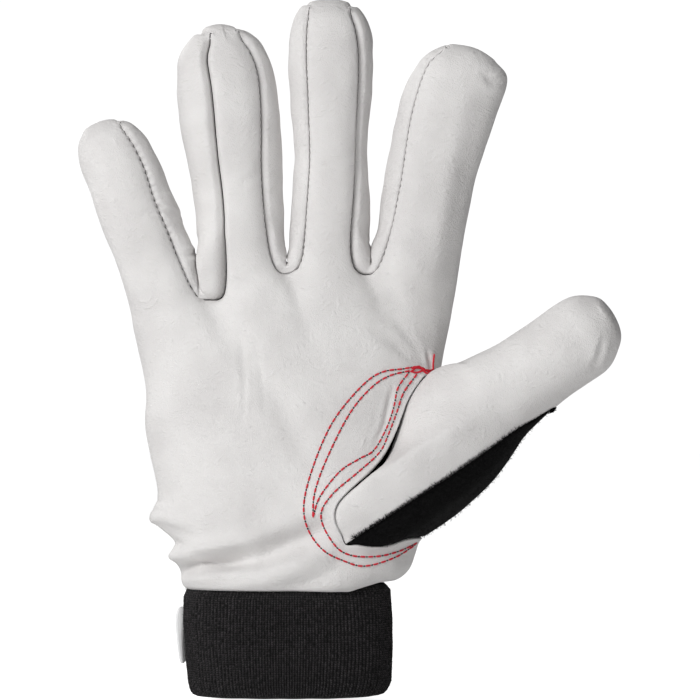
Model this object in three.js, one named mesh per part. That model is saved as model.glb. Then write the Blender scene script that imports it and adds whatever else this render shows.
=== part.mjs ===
import * as THREE from 'three';

// A leather work glove for the right hand, shaped as it is worn: leather palm, finger fronts and thumb,
// side strips between the fingers, a dark fabric back, and a ribbed knit cuff.
// Millimetres. +Z runs from the wrist opening to the fingertips, the palm faces -Y, the thumb points to +X.
// The origin is the centre of the wrist opening, in the plane of the cuff's lower edge.

// Wall of each material, and the gap that a sewn seam leaves between two panels
const LEATHER_WALL = 1.4;
const FABRIC_WALL = 1.8;
const CUFF_WALL = 2.4;
const SEAM_GAP = 0.4;

// How much each point's inward direction is evened out with its neighbours'
const EVENING = 0.4;

// The outer columns of a finger front narrow towards the tip, where the side strips take them over
const CROWDING = [0.35, 0.65];

// Columns of faces across one finger front, across one finger side, and between two fingers
const FRONT = 5;
const SIDE = 3;
const BETWEEN = 2;
const PITCH = FRONT + BETWEEN;
const FINGERS = 4;
const ACROSS = PITCH * FINGERS - BETWEEN;

// The thumb hole takes these columns and rows out of the hand
const HOLE_FRONT = PITCH * (FINGERS - 1);
const HOLE_BACK = ACROSS - 2;
const HOLE_FIRST_ROW = 4;
const HOLE_LAST_ROW = 13;
const HOLE_SAG = 2.4;
const CROTCH_ROW = 17;

// Sections are superellipses: SQUARENESS 2 is an ellipse, more is squarer.
// CORNER is where the front or back panel ends, as a share of the half width.
const SQUARENESS = 2.3;
const CORNER = 0.88;

// The pad of leather over the base of the thumb
const PAD = { x: 26, z: 74, radius: 24, height: 4 };

// Hand sections from the wrist hem up to the top of the thumb hole. left and right are the silhouette,
// edge is the front edge of the thumb hole (below it, the same line carried on), backEdge the rear one.
const HAND = [
  { left: [-37.7, 38.5], edge: [22.0, 37.8], right: [37.0, 41.0], backEdge: [31.0, 38.2], front: 23.5, back: 23.5 },
  { left: [-38.2, 41.6], edge: [22.8, 41.6], right: [41.4, 43.6], backEdge: [33.0, 41.8], front: 25.5, back: 24.5 },
  { left: [-39.6, 46.0], edge: [23.4, 46.2], right: [44.4, 47.0], backEdge: [35.0, 46.4], front: 26.0, back: 24.5 },
  { left: [-42.0, 50.6], edge: [22.4, 51.2], right: [45.8, 51.6], backEdge: [36.0, 51.4], front: 24.6, back: 23.6 },
  { left: [-40.8, 55.6], edge: [20.8, 55.8], right: [47.6, 56.8], backEdge: [36.0, 55.6], front: 24.2, back: 22.6 },
  { left: [-45.4, 60.2], edge: [16.4, 62.2], right: [48.6, 63.0], backEdge: [35.8, 61.6], front: 24.4, back: 22.4 },
  { left: [-49.8, 65.2], edge: [16.2, 69.4], right: [49.6, 69.8], backEdge: [36.0, 67.8], front: 24.0, back: 22.0 },
  { left: [-47.0, 70.6], edge: [21.6, 75.8], right: [50.4, 76.2], backEdge: [36.8, 73.8], front: 23.4, back: 21.4 },
  { left: [-47.6, 77.6], edge: [28.0, 81.2], right: [51.0, 81.8], backEdge: [38.0, 79.8], front: 22.6, back: 20.6 },
  { left: [-49.4, 85.0], edge: [33.2, 86.8], right: [51.6, 87.4], backEdge: [39.6, 85.6], front: 21.6, back: 19.8 },
  { left: [-51.0, 92.4], edge: [37.0, 93.4], right: [52.2, 94.0], backEdge: [41.6, 91.4], front: 20.6, back: 19.0 },
  { left: [-51.6, 99.8], edge: [40.0, 100.8], right: [52.8, 101.2], backEdge: [44.0, 97.0], front: 19.6, back: 18.2 },
  { left: [-51.2, 107.2], edge: [43.0, 108.4], right: [53.6, 108.8], backEdge: [46.8, 102.6], front: 18.6, back: 17.6 },
  { left: [-51.8, 114.0], edge: [48.4, 115.6], right: [54.8, 115.8], backEdge: [48.2, 106.6], front: 17.6, back: 17.0 },
];

// Where the finger fronts start: the seam's lowest points between the fingers are the `between` columns.
// col counts face columns from the little finger's edge, front and back are depths from the mid plane.
const CROTCH = [
  { col: 0, x: -54.2, z: 140.4, backX: -54.2, backZ: 141.4, front: 6.6, back: 6.6 },
  { col: 2.5, x: -43.6, z: 143.4, backX: -45.4, backZ: 151.0, front: 13.2, back: 12.4 },
  { col: 5, x: -32.6, z: 145.2, backX: -36.8, backZ: 160.4, front: 11.4, back: 10.6 },
  { col: 6, x: -27.8, z: 143.0, backX: -32.8, backZ: 159.4, front: 10.2, back: 9.4 },
  { col: 7, x: -23.0, z: 145.6, backX: -28.8, backZ: 160.6, front: 11.4, back: 10.6 },
  { col: 9.5, x: -13.2, z: 150.8, backX: -14.8, backZ: 159.2, front: 14.0, back: 13.2 },
  { col: 12, x: -3.6, z: 155.2, backX: -3.6, backZ: 158.8, front: 11.6, back: 10.8 },
  { col: 13, x: 0.4, z: 152.6, backX: -0.4, backZ: 156.8, front: 10.4, back: 9.6 },
  { col: 14, x: 4.0, z: 155.6, backX: 3.0, backZ: 159.4, front: 11.6, back: 10.8 },
  { col: 16.5, x: 14.2, z: 155.6, backX: 14.2, backZ: 160.4, front: 14.2, back: 13.4 },
  { col: 19, x: 24.4, z: 154.6, backX: 25.4, backZ: 161.2, front: 11.6, back: 10.8 },
  { col: 20, x: 28.6, z: 151.8, backX: 29.8, backZ: 160.2, front: 10.4, back: 9.6 },
  { col: 21, x: 32.8, z: 155.2, backX: 34.0, backZ: 161.2, front: 11.6, back: 10.8 },
  { col: 23.5, x: 45.4, z: 152.6, backX: 45.4, backZ: 156.0, front: 14.2, back: 13.4 },
  { col: 26, x: 57.2, z: 148.8, backX: 57.2, backZ: 149.6, front: 7.0, back: 7.0 },
];
const CROTCH_SIDES = { little: [-56.8, 140.6], index: [60.4, 148.8] };

// The web that joins two fingers arches up between the front seam and the back seam. Its three columns
// run from the finger on its left to the one on its right, each with a front and a back point.
const WEBS = [
  {
    name: 'little_ring',
    front: [[-34.8, -7.4, 156.0], [-30.2, -7.6, 149.6], [-29.2, -8.4, 155.6]],
    back: [[-35.8, 0.4, 162.0], [-32.4, 0.8, 155.6], [-31.2, -0.4, 161.6]],
  },
  {
    name: 'ring_middle',
    front: [[-2.9, -7.0, 159.0], [0.2, -8.2, 155.4], [2.4, -7.0, 159.0]],
    back: [[-2.2, 1.4, 160.8], [-0.6, 1.4, 156.6], [1.2, 1.4, 160.8]],
  },
  {
    name: 'middle_index',
    front: [[27.0, -7.0, 160.2], [29.2, -8.2, 155.6], [32.2, -7.2, 160.8]],
    back: [[27.8, 1.4, 163.0], [29.8, 1.4, 158.6], [31.8, 1.4, 163.4]],
  },
];

// Fingers: the axis in the XZ plane, how far its base and tip lie towards the back, then sections.
// along is a share of the length, left and right the silhouette, seamLeft and seamRight the front panel's
// edges (all from the axis), front and back the half depths.
const DIGITS = [
  {
    name: 'little', base: [-44.9, 146.9], tip: [-64.7, 206.9], lift: [-1.5, -7.0], wraps: 'left',
    sections: [
      { along: 0.22, left: -13.2, right: 13.6, seamLeft: -11.4, seamRight: 9.4, front: 12.8, back: 12.0 },
      { along: 0.33, left: -13.7, right: 14.4, seamLeft: -11.8, seamRight: 9.0, front: 12.6, back: 11.8 },
      { along: 0.44, left: -14.3, right: 14.3, seamLeft: -12.4, seamRight: 8.3, front: 12.3, back: 11.6 },
      { along: 0.55, left: -14.2, right: 13.6, seamLeft: -12.4, seamRight: 8.2, front: 12.0, back: 11.3 },
      { along: 0.66, left: -14.0, right: 13.2, seamLeft: -12.2, seamRight: 8.4, front: 11.8, back: 11.0 },
      { along: 0.76, left: -14.5, right: 12.4, seamLeft: -12.4, seamRight: 7.8, front: 11.4, back: 10.6 },
      { along: 0.85, left: -14.0, right: 11.1, seamLeft: -11.8, seamRight: 6.8, front: 10.6, back: 9.8 },
      { along: 0.92, left: -12.4, right: 8.7, seamLeft: -10.0, seamRight: 5.4, front: 8.8, back: 8.2 },
      { along: 0.965, left: -10.0, right: 6.0, seamLeft: -7.4, seamRight: 4.0, front: 6.4, back: 6.0 },
    ],
  },
  {
    name: 'ring', base: [-13.3, 149.8], tip: [-23.7, 241.0], lift: [0.5, -5.0], wraps: 'none',
    sections: [
      { along: 0.175, left: -17.0, right: 13.5, seamLeft: -8.3, seamRight: 9.1, front: 13.8, back: 12.8 },
      { along: 0.24, left: -17.4, right: 14.4, seamLeft: -7.7, seamRight: 9.0, front: 13.6, back: 12.6 },
      { along: 0.34, left: -17.1, right: 15.2, seamLeft: -7.2, seamRight: 9.2, front: 13.4, back: 12.4 },
      { along: 0.45, left: -17.7, right: 16.2, seamLeft: -7.3, seamRight: 9.9, front: 13.2, back: 12.2 },
      { along: 0.56, left: -18.6, right: 16.8, seamLeft: -7.1, seamRight: 11.2, front: 13.0, back: 12.0 },
      { along: 0.67, left: -19.3, right: 17.1, seamLeft: -6.7, seamRight: 12.2, front: 12.8, back: 11.8 },
      { along: 0.78, left: -18.6, right: 16.7, seamLeft: -6.7, seamRight: 12.6, front: 12.4, back: 11.4 },
      { along: 0.87, left: -17.5, right: 14.8, seamLeft: -7.1, seamRight: 11.2, front: 11.4, back: 10.6 },
      { along: 0.93, left: -14.6, right: 12.4, seamLeft: -5.6, seamRight: 8.6, front: 9.2, back: 8.6 },
      { along: 0.97, left: -10.9, right: 8.4, seamLeft: -4.2, seamRight: 5.8, front: 6.6, back: 6.2 },
    ],
  },
  {
    name: 'middle', base: [14.4, 154.1], tip: [15.4, 249.8], lift: [1.0, -4.5], wraps: 'none',
    sections: [
      { along: 0.11, left: -13.6, right: 14.2, seamLeft: -9.2, seamRight: 9.0, front: 14.0, back: 13.0 },
      { along: 0.2, left: -13.5, right: 15.1, seamLeft: -8.7, seamRight: 9.6, front: 13.8, back: 12.8 },
      { along: 0.31, left: -13.0, right: 14.3, seamLeft: -8.0, seamRight: 10.3, front: 13.4, back: 12.6 },
      { along: 0.42, left: -12.4, right: 13.5, seamLeft: -7.6, seamRight: 10.6, front: 13.2, back: 12.4 },
      { along: 0.53, left: -13.4, right: 13.9, seamLeft: -8.0, seamRight: 10.8, front: 13.0, back: 12.2 },
      { along: 0.64, left: -14.3, right: 14.9, seamLeft: -8.4, seamRight: 11.2, front: 12.8, back: 12.0 },
      { along: 0.76, left: -15.3, right: 15.4, seamLeft: -9.0, seamRight: 11.4, front: 12.4, back: 11.6 },
      { along: 0.86, left: -14.8, right: 15.2, seamLeft: -9.1, seamRight: 10.6, front: 11.6, back: 10.8 },
      { along: 0.93, left: -13.2, right: 12.8, seamLeft: -8.6, seamRight: 8.8, front: 9.6, back: 9.0 },
      { along: 0.97, left: -11.2, right: 10.4, seamLeft: -7.6, seamRight: 6.9, front: 7.0, back: 6.6 },
    ],
  },
  {
    name: 'index', base: [46.3, 156.2], tip: [62.9, 233.8], lift: [0.0, -5.5], wraps: 'right',
    sections: [
      { along: 0.14, left: -16.4, right: 14.8, seamLeft: -11.9, seamRight: 12.2, front: 14.2, back: 13.0 },
      { along: 0.24, left: -17.4, right: 14.6, seamLeft: -11.9, seamRight: 12.2, front: 13.8, back: 12.8 },
      { along: 0.35, left: -17.9, right: 14.5, seamLeft: -12.1, seamRight: 12.2, front: 13.4, back: 12.6 },
      { along: 0.46, left: -18.1, right: 14.6, seamLeft: -12.7, seamRight: 12.2, front: 13.2, back: 12.4 },
      { along: 0.57, left: -18.1, right: 15.4, seamLeft: -13.3, seamRight: 12.8, front: 13.0, back: 12.2 },
      { along: 0.68, left: -18.2, right: 16.4, seamLeft: -13.3, seamRight: 13.6, front: 12.6, back: 11.8 },
      { along: 0.78, left: -17.2, right: 17.4, seamLeft: -12.8, seamRight: 14.4, front: 12.2, back: 11.4 },
      { along: 0.87, left: -14.8, right: 18.3, seamLeft: -11.6, seamRight: 14.8, front: 11.0, back: 10.4 },
      { along: 0.93, left: -11.8, right: 16.9, seamLeft: -9.0, seamRight: 13.2, front: 9.0, back: 8.6 },
      { along: 0.97, left: -7.8, right: 13.7, seamLeft: -6.0, seamRight: 10.4, front: 6.6, back: 6.2 },
    ],
  },
];

// Thumb: its axis, the length over which it grows out of the hole, then round sections.
// upper and lower are the silhouette on either side of the axis, seam is the angle of the leather's lower
// edge, counted from the upper silhouette round the front.
const THUMB = {
  base: [40.2, -5.0, 86.9], tip: [116.4, -22.0, 135.9],
  growRows: 6, growPower: 2.6, fabricRows: 8, backSeam: -70,
  sections: [
    { along: 0.45, upper: 15.8, lower: 18.3, depth: 14.6, seam: 143 },
    { along: 0.52, upper: 15.1, lower: 16.6, depth: 14.0, seam: 155 },
    { along: 0.595, upper: 14.9, lower: 15.4, depth: 13.6, seam: 168 },
    { along: 0.68, upper: 15.1, lower: 14.6, depth: 13.2, seam: 170 },
    { along: 0.77, upper: 15.3, lower: 14.2, depth: 12.8, seam: 170 },
    { along: 0.85, upper: 15.6, lower: 14.2, depth: 12.0, seam: 170 },
    { along: 0.915, upper: 14.6, lower: 13.3, depth: 10.6, seam: 170 },
    { along: 0.965, upper: 11.6, lower: 10.6, depth: 7.8, seam: 170 },
  ],
};

// Cuff sections below the hem: the silhouette and the half depth
const CUFF = [
  { z: 0.0, left: -33.4, right: 33.2, depth: 21.0 },
  { z: 1.6, left: -34.6, right: 35.0, depth: 22.4 },
  { z: 6.0, left: -35.6, right: 36.8, depth: 23.4 },
  { z: 16.0, left: -36.4, right: 37.4, depth: 24.2 },
  { z: 27.0, left: -37.4, right: 37.2, depth: 24.2 },
];
const CUFF_TOP_GAP = 0.5;

// The tab is a flat strip on the back of the cuff. path is its inner side seen from above, from the sewn
// end to the free end that stands off the cuff's edge; slant draws the end's low corner back.
const TAB = {
  path: [[-8.0, 24.3], [-15.0, 23.1], [-20.0, 21.8], [-24.0, 20.2], [-28.0, 18.0], [-33.4, 13.9],
    [-37.0, 10.7], [-40.0, 7.8]],
  low: 12.4, high: 32.0, thickness: 1.2, cut: 2.6, slant: 0.55,
};

const COLOURS = {
  leather: 0xe6e4e1,
  fabric: 0x1d1b1d,
  knit: 0x242225,
};

const mix = (a, b, t) => a + (b - a) * t;
const vec = (x, y, z) => new THREE.Vector3(x, y, z);

// Depth of a superellipse of half depth `depth` at a share `q` of its half width
function bulge(q, depth, squareness = SQUARENESS) {
  const rest = 1 - Math.min(1, Math.abs(q)) ** squareness;
  return depth * rest ** (1 / squareness);
}

// Angle on a superellipse at a share q of the half width, and the point at an angle
const angleOf = (q) => Math.acos(Math.sign(q) * Math.abs(q) ** (SQUARENESS / 2));
const shareAt = (angle) => Math.sign(Math.cos(angle)) * Math.abs(Math.cos(angle)) ** (2 / SQUARENESS);
const depthAt = (angle) => Math.sign(Math.sin(angle)) * Math.abs(Math.sin(angle)) ** (2 / SQUARENESS);

// A table of rows read between its rows
function readTable(rows, key, at, column) {
  const next = rows.findIndex((row) => row[key] >= at);
  if (next <= 0) return rows[next === 0 ? 0 : rows.length - 1][column];
  const [low, high] = [rows[next - 1], rows[next]];
  return mix(low[column], high[column], (at - low[key]) / (high[key] - low[key]));
}

// The skin is the glove's whole outer surface: points, and four-sided faces that each belong to a panel
class Skin {
  constructor() {
    this.points = [];
    this.faces = [];
  }

  add(point) {
    this.points.push(point);
    return this.points.length - 1;
  }

  face(panel, a, b, c, d) {
    this.faces.push({ panel, corners: [a, b, c, d] });
  }

  faceNormal({ corners: [a, b, c, d] }) {
    const across = this.points[c].clone().sub(this.points[a]);
    return across.cross(this.points[d].clone().sub(this.points[b]));
  }

  // Outward direction of each point, over all the panels that meet there and evened out with its neighbours
  pointNormals() {
    const normals = this.points.map(() => vec(0, 0, 0));
    for (const face of this.faces) {
      const normal = this.faceNormal(face);
      face.corners.forEach((corner) => normals[corner].add(normal));
    }
    normals.forEach((normal) => normal.normalize());
    const even = normals.map((normal) => normal.clone());
    for (const { corners } of this.faces) {
      corners.forEach((corner, i) => even[corner].addScaledVector(normals[corners[(i + 1) % 4]], EVENING));
    }
    return even.map((normal) => normal.normalize());
  }
}

const skin = new Skin();

// One closed ring of the hand: front columns from the little finger's side, the thumb side, back columns
// from the thumb's side, then the little finger's side. A null is a place inside the thumb hole.
function handRing(row) {
  const section = HAND[row];
  const [left, right] = [section.left[0], section.right[0]];
  const middle = (left + right) / 2;
  const half = (right - left) / 2;
  const share = (x) => (x - middle) / half;
  const corner = { left: middle - CORNER * half, right: middle + CORNER * half };
  const inHole = row > HOLE_FIRST_ROW && row < HOLE_LAST_ROW;
  const level = (x) => mix(section.left[1], section.right[1], (x - left) / (right - left));

  // x and z of a front or back column, with the thumb hole's edge as a fixed column
  const place = (col, edgeCol, edge) => {
    if (col <= edgeCol) {
      const t = col / edgeCol;
      return [mix(corner.left, edge[0], t), mix(section.left[1], edge[1], t)];
    }
    const t = (col - edgeCol) / (ACROSS - edgeCol);
    const sag = row === HOLE_FIRST_ROW ? HOLE_SAG * Math.sin(Math.PI * t) : 0;
    return [mix(edge[0], corner.right, t), mix(edge[1], section.right[1], t) - sag];
  };
  const pad = (x, z) => PAD.height * Math.exp(-((x - PAD.x) ** 2 + (z - PAD.z) ** 2) / PAD.radius ** 2);

  const front = [];
  const back = [];
  for (let col = 0; col <= ACROSS; col += 1) {
    const [x, z] = place(col, HOLE_FRONT, section.edge);
    const [backX, backZ] = place(col, HOLE_BACK, section.backEdge);
    const y = -bulge(share(x), section.front) - pad(x, z);
    front.push(inHole && col > HOLE_FRONT ? null : vec(x, y, z));
    back.push(inHole && col > HOLE_BACK ? null : vec(backX, bulge(share(backX), section.back), backZ));
  }
  // The two sides follow the section from the front corner round to the back corner
  const pointAt = (angle, sign) => {
    const depth = depthAt(angle) < 0 ? section.front : section.back;
    const x = middle + sign * half * shareAt(angle);
    return vec(x, depth * depthAt(angle), level(x));
  };
  const sideAt = (sign) => {
    const points = [];
    for (let k = 1; k < SIDE; k += 1) {
      points.push(pointAt(mix(-angleOf(CORNER), angleOf(CORNER), k / SIDE), sign));
    }
    return points;
  };
  const ring = { front, thumbSide: inHole ? null : sideAt(1), back, littleSide: sideAt(-1) };
  // Over the top of the hole the columns are spread evenly round the thumb's side of the hand
  if (row === HOLE_LAST_ROW) {
    const angles = [-angleOf(share(section.edge[0])), angleOf(share(section.backEdge[0]))];
    const steps = 2 * ACROSS - HOLE_FRONT - HOLE_BACK + SIDE;
    const spread = (step) => {
      const t = step / steps;
      const [from, to] = t < 0.5 ? [section.edge, section.right] : [section.right, section.backEdge];
      return pointAt(mix(...angles, t), 1).setZ(mix(from[1], to[1], t < 0.5 ? 2 * t : 2 * t - 1));
    };
    const inFront = ACROSS - HOLE_FRONT;
    for (let col = 1; col <= inFront; col += 1) front[HOLE_FRONT + col] = spread(col);
    ring.thumbSide = [...Array(SIDE - 1).keys()].map((k) => spread(inFront + 1 + k));
    for (let col = HOLE_BACK + 1; col <= ACROSS; col += 1) back[col] = spread(steps - (col - HOLE_BACK));
  }
  return ring;
}

// The ring at the foot of the fingers
function crotchRing() {
  const at = (col, column) => readTable(CROTCH, 'col', col, column);
  const ease = (col, column) => {
    const inFinger = col % PITCH;
    if (inFinger >= FRONT || !['front', 'back'].includes(column)) return at(col, column);
    const first = col - inFinger;
    const [from, peak, to] = [first, first + FRONT / 2, first + FRONT].map((c) => at(c, column));
    const foot = mix(from, to, inFinger / FRONT);
    return foot + (peak - (from + to) / 2) * Math.sin((Math.PI * inFinger) / FRONT) ** 0.7;
  };
  const front = [];
  const back = [];
  for (let col = 0; col <= ACROSS; col += 1) {
    front.push(vec(at(col, 'x'), -ease(col, 'front'), at(col, 'z')));
    back.push(vec(at(col, 'backX'), ease(col, 'back'), at(col, 'backZ')));
  }
  const sideAt = ([x, z]) => [vec(x, -2.4, z), vec(x, 2.4, z)];
  return { front, thumbSide: sideAt(CROTCH_SIDES.index), back, littleSide: sideAt(CROTCH_SIDES.little) };
}

// Rings between the top of the thumb hole and the foot of the fingers bend from one to the other
function blendRing(low, high, t) {
  const depthShare = t ** 2.2;
  const join = (a, b) => vec(mix(a.x, b.x, t), mix(a.y, b.y, depthShare), mix(a.z, b.z, t));
  const joinAll = (a, b) => a.map((point, i) => join(point, b[i]));
  return {
    front: joinAll(low.front, high.front),
    thumbSide: joinAll(low.thumbSide, high.thumbSide),
    back: joinAll(low.back, high.back),
    littleSide: joinAll(low.littleSide, high.littleSide),
  };
}

function addRing(ring) {
  const addAll = (points) => points && points.map((point) => (point ? skin.add(point) : null));
  return {
    front: addAll(ring.front),
    thumbSide: addAll(ring.thumbSide),
    back: addAll(ring.back),
    littleSide: addAll(ring.littleSide),
  };
}

function buildHand() {
  const rings = HAND.map((section, row) => handRing(row));
  const top = crotchRing();
  for (let row = HOLE_LAST_ROW + 1; row < CROTCH_ROW; row += 1) {
    const t = (row - HOLE_LAST_ROW) / (CROTCH_ROW - HOLE_LAST_ROW);
    rings.push(blendRing(rings[HOLE_LAST_ROW], top, t));
  }
  rings.push(top);
  const hand = rings.map(addRing);
  for (let row = 0; row < CROTCH_ROW; row += 1) {
    const [low, high] = [hand[row], hand[row + 1]];
    const besideHole = row >= HOLE_FIRST_ROW && row < HOLE_LAST_ROW;
    const strip = (panel, a, b) => {
      for (let i = 0; i + 1 < a.length; i += 1) skin.face(panel, a[i], a[i + 1], b[i + 1], b[i]);
    };
    const frontEnd = besideHole ? HOLE_FRONT : ACROSS;
    const backEnd = besideHole ? HOLE_BACK : ACROSS;
    strip('palm_leather', low.front.slice(0, frontEnd + 1), high.front.slice(0, frontEnd + 1));
    strip('back_fabric', low.back.slice(0, backEnd + 1).reverse(), high.back.slice(0, backEnd + 1).reverse());
    const sideLoop = (ring, side, from, to) => [from, ...side, to];
    if (!besideHole) {
      strip(
        'palm_leather',
        sideLoop(low, low.thumbSide, low.front[ACROSS], low.back[ACROSS]),
        sideLoop(high, high.thumbSide, high.front[ACROSS], high.back[ACROSS]),
      );
    }
    strip(
      'palm_leather',
      sideLoop(low, low.littleSide, low.front[0], low.back[0]).reverse(),
      sideLoop(high, high.littleSide, high.front[0], high.back[0]).reverse(),
    );
  }
  return hand;
}

function buildWeb(index, foot) {
  const web = WEBS[index];
  const first = index * PITCH + FRONT;
  const columns = web.front.map((frontPoint, c) => [
    foot.front[first + c], skin.add(vec(...frontPoint)), skin.add(vec(...web.back[c])), foot.back[first + c],
  ]);
  for (let c = 0; c < BETWEEN; c += 1) {
    for (let k = 0; k < SIDE; k += 1) {
      const [left, right] = [columns[c], columns[c + 1]];
      skin.face(`fourchette_${web.name}`, left[k], right[k], right[k + 1], left[k + 1]);
    }
  }
  return columns;
}

// A patch of faces that fills a flat-ended ring, domed out to `height` along `axis`
function closeTip(ring, columns, rows, axis, height, panelOf, across) {
  const at = (i) => skin.points[ring[i % ring.length]];
  const index = (c, r) => {
    if (r === 0) return ring[c];
    if (c === columns) return ring[columns + r];
    if (r === rows) return ring[columns + rows + (columns - c)];
    if (c === 0) return ring[ring.length - r];
    return null;
  };
  const grid = [];
  for (let c = 0; c <= columns; c += 1) {
    grid.push([]);
    for (let r = 0; r <= rows; r += 1) {
      let point = index(c, r);
      if (point === null) {
        const [u, v] = [across[c], r / rows];
        const [south, north] = [at(c), at(columns + rows + (columns - c))];
        const [west, east] = [at(ring.length - r), at(columns + r)];
        const flat = south.clone().multiplyScalar(1 - v).addScaledVector(north, v);
        flat.addScaledVector(west, 1 - u).addScaledVector(east, u);
        const corners = [[0, 1 - u, 1 - v], [columns, u, 1 - v], [columns + rows, u, v],
          [2 * columns + rows, 1 - u, v]];
        corners.forEach(([i, a, b]) => flat.addScaledVector(at(i), -a * b));
        // The dome is highest in the middle of the ring and meets it at its edge
        const [p, q] = [2 * u - 1, 2 * v - 1];
        const rise = Math.sqrt(Math.max(0, (1 - p * p) * (1 - q * q)));
        point = skin.add(flat.addScaledVector(axis, height * Math.min(1, rise * 1.12)));
      }
      grid[c].push(point);
    }
  }
  for (let c = 0; c < columns; c += 1) {
    for (let r = 0; r < rows; r += 1) {
      skin.face(panelOf(c), grid[c][r], grid[c + 1][r], grid[c + 1][r + 1], grid[c][r + 1]);
    }
  }
}

// Shares 0 to 1 of the columns across a finger front, with the outer columns narrower by `crowding`
function columnShares(crowding) {
  const widths = Array(FRONT).fill(1).map((w, j) => (j === 0 || j === FRONT - 1 ? crowding : w));
  const total = widths.reduce((a, b) => a + b);
  return [0, ...widths.map((w, j) => widths.slice(0, j + 1).reduce((a, b) => a + b) / total)];
}

function buildFinger(index, foot, webs) {
  const digit = DIGITS[index];
  const start = index * PITCH;
  const [base, tip] = [digit.base, digit.tip];
  const length = Math.hypot(tip[0] - base[0], tip[1] - base[1]);
  const up = vec((tip[0] - base[0]) / length, 0, (tip[1] - base[1]) / length);
  const out = vec(up.z, 0, -up.x);

  // The first ring is shared with the hand and the webs
  const cols = [...Array(FRONT + 1).keys()].map((j) => start + j);
  const rightSide = index < FINGERS - 1 ? webs[index][0].slice(1, SIDE) : foot.thumbSide;
  const leftSide = index > 0 ? webs[index - 1][BETWEEN].slice(1, SIDE) : foot.littleSide;
  let ring = [
    ...cols.map((c) => foot.front[c]), ...rightSide,
    ...cols.map((c) => foot.back[c]).reverse(), ...[...leftSide].reverse(),
  ];

  const rightPanel = index < FINGERS - 1 ? `fourchette_${WEBS[index].name}` : 'palm_leather';
  const leftPanel = index > 0 ? `fourchette_${WEBS[index - 1].name}` : 'palm_leather';
  const panels = [
    ...Array(FRONT).fill('palm_leather'), ...Array(SIDE).fill(rightPanel),
    ...Array(FRONT).fill('back_fabric'), ...Array(SIDE).fill(leftPanel),
  ];

  digit.sections.forEach((section, row) => {
    const middle = (section.left + section.right) / 2;
    const half = (section.right - section.left) / 2;
    const lift = mix(digit.lift[0], digit.lift[1], section.along ** 1.6);
    const point = (u, y) => {
      const place = vec(base[0], lift + y, base[1]).addScaledVector(up, section.along * length);
      return skin.add(place.addScaledVector(out, u));
    };
    const shares = columnShares(CROWDING[digit.sections.length - 1 - row] ?? 1);
    const shareOf = (u) => Math.max(-0.97, Math.min(0.97, (u - middle) / half));
    const next = [];
    for (let j = 0; j <= FRONT; j += 1) {
      const u = mix(section.seamLeft, section.seamRight, shares[j]);
      next.push(point(u, -bulge(shareOf(u), section.front)));
    }
    const side = (sign, seam) => {
      const points = [];
      for (let k = 1; k < SIDE; k += 1) {
        const angle = mix(-angleOf(sign * shareOf(seam)), angleOf(CORNER), k / SIDE);
        const depth = depthAt(angle) < 0 ? section.front : section.back;
        points.push([middle + sign * half * shareAt(angle), depth * depthAt(angle)]);
      }
      return points;
    };
    side(1, section.seamRight).forEach(([u, y]) => next.push(point(u, y)));
    for (let j = 0; j <= FRONT; j += 1) {
      const q = mix(CORNER, -CORNER, shares[j]);
      next.push(point(middle + half * q, bulge(q, section.back)));
    }
    side(-1, section.seamLeft).reverse().forEach(([u, y]) => next.push(point(u, y)));

    ring.forEach((corner, i) => {
      const after = (i + 1) % ring.length;
      skin.face(panels[i], corner, ring[after], next[after], next[i]);
    });
    ring = next;
  });
  // Over the tip the side strips run on to the back seam, with the front's leather between them
  const last = digit.sections[digit.sections.length - 1];
  const overTip = { 0: leftPanel, [FRONT - 1]: rightPanel };
  const panelOf = (column) => overTip[column] ?? 'palm_leather';
  closeTip(ring, FRONT, SIDE, up, (1 - last.along) * length, panelOf, columnShares(CROWDING[0]));
}

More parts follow.
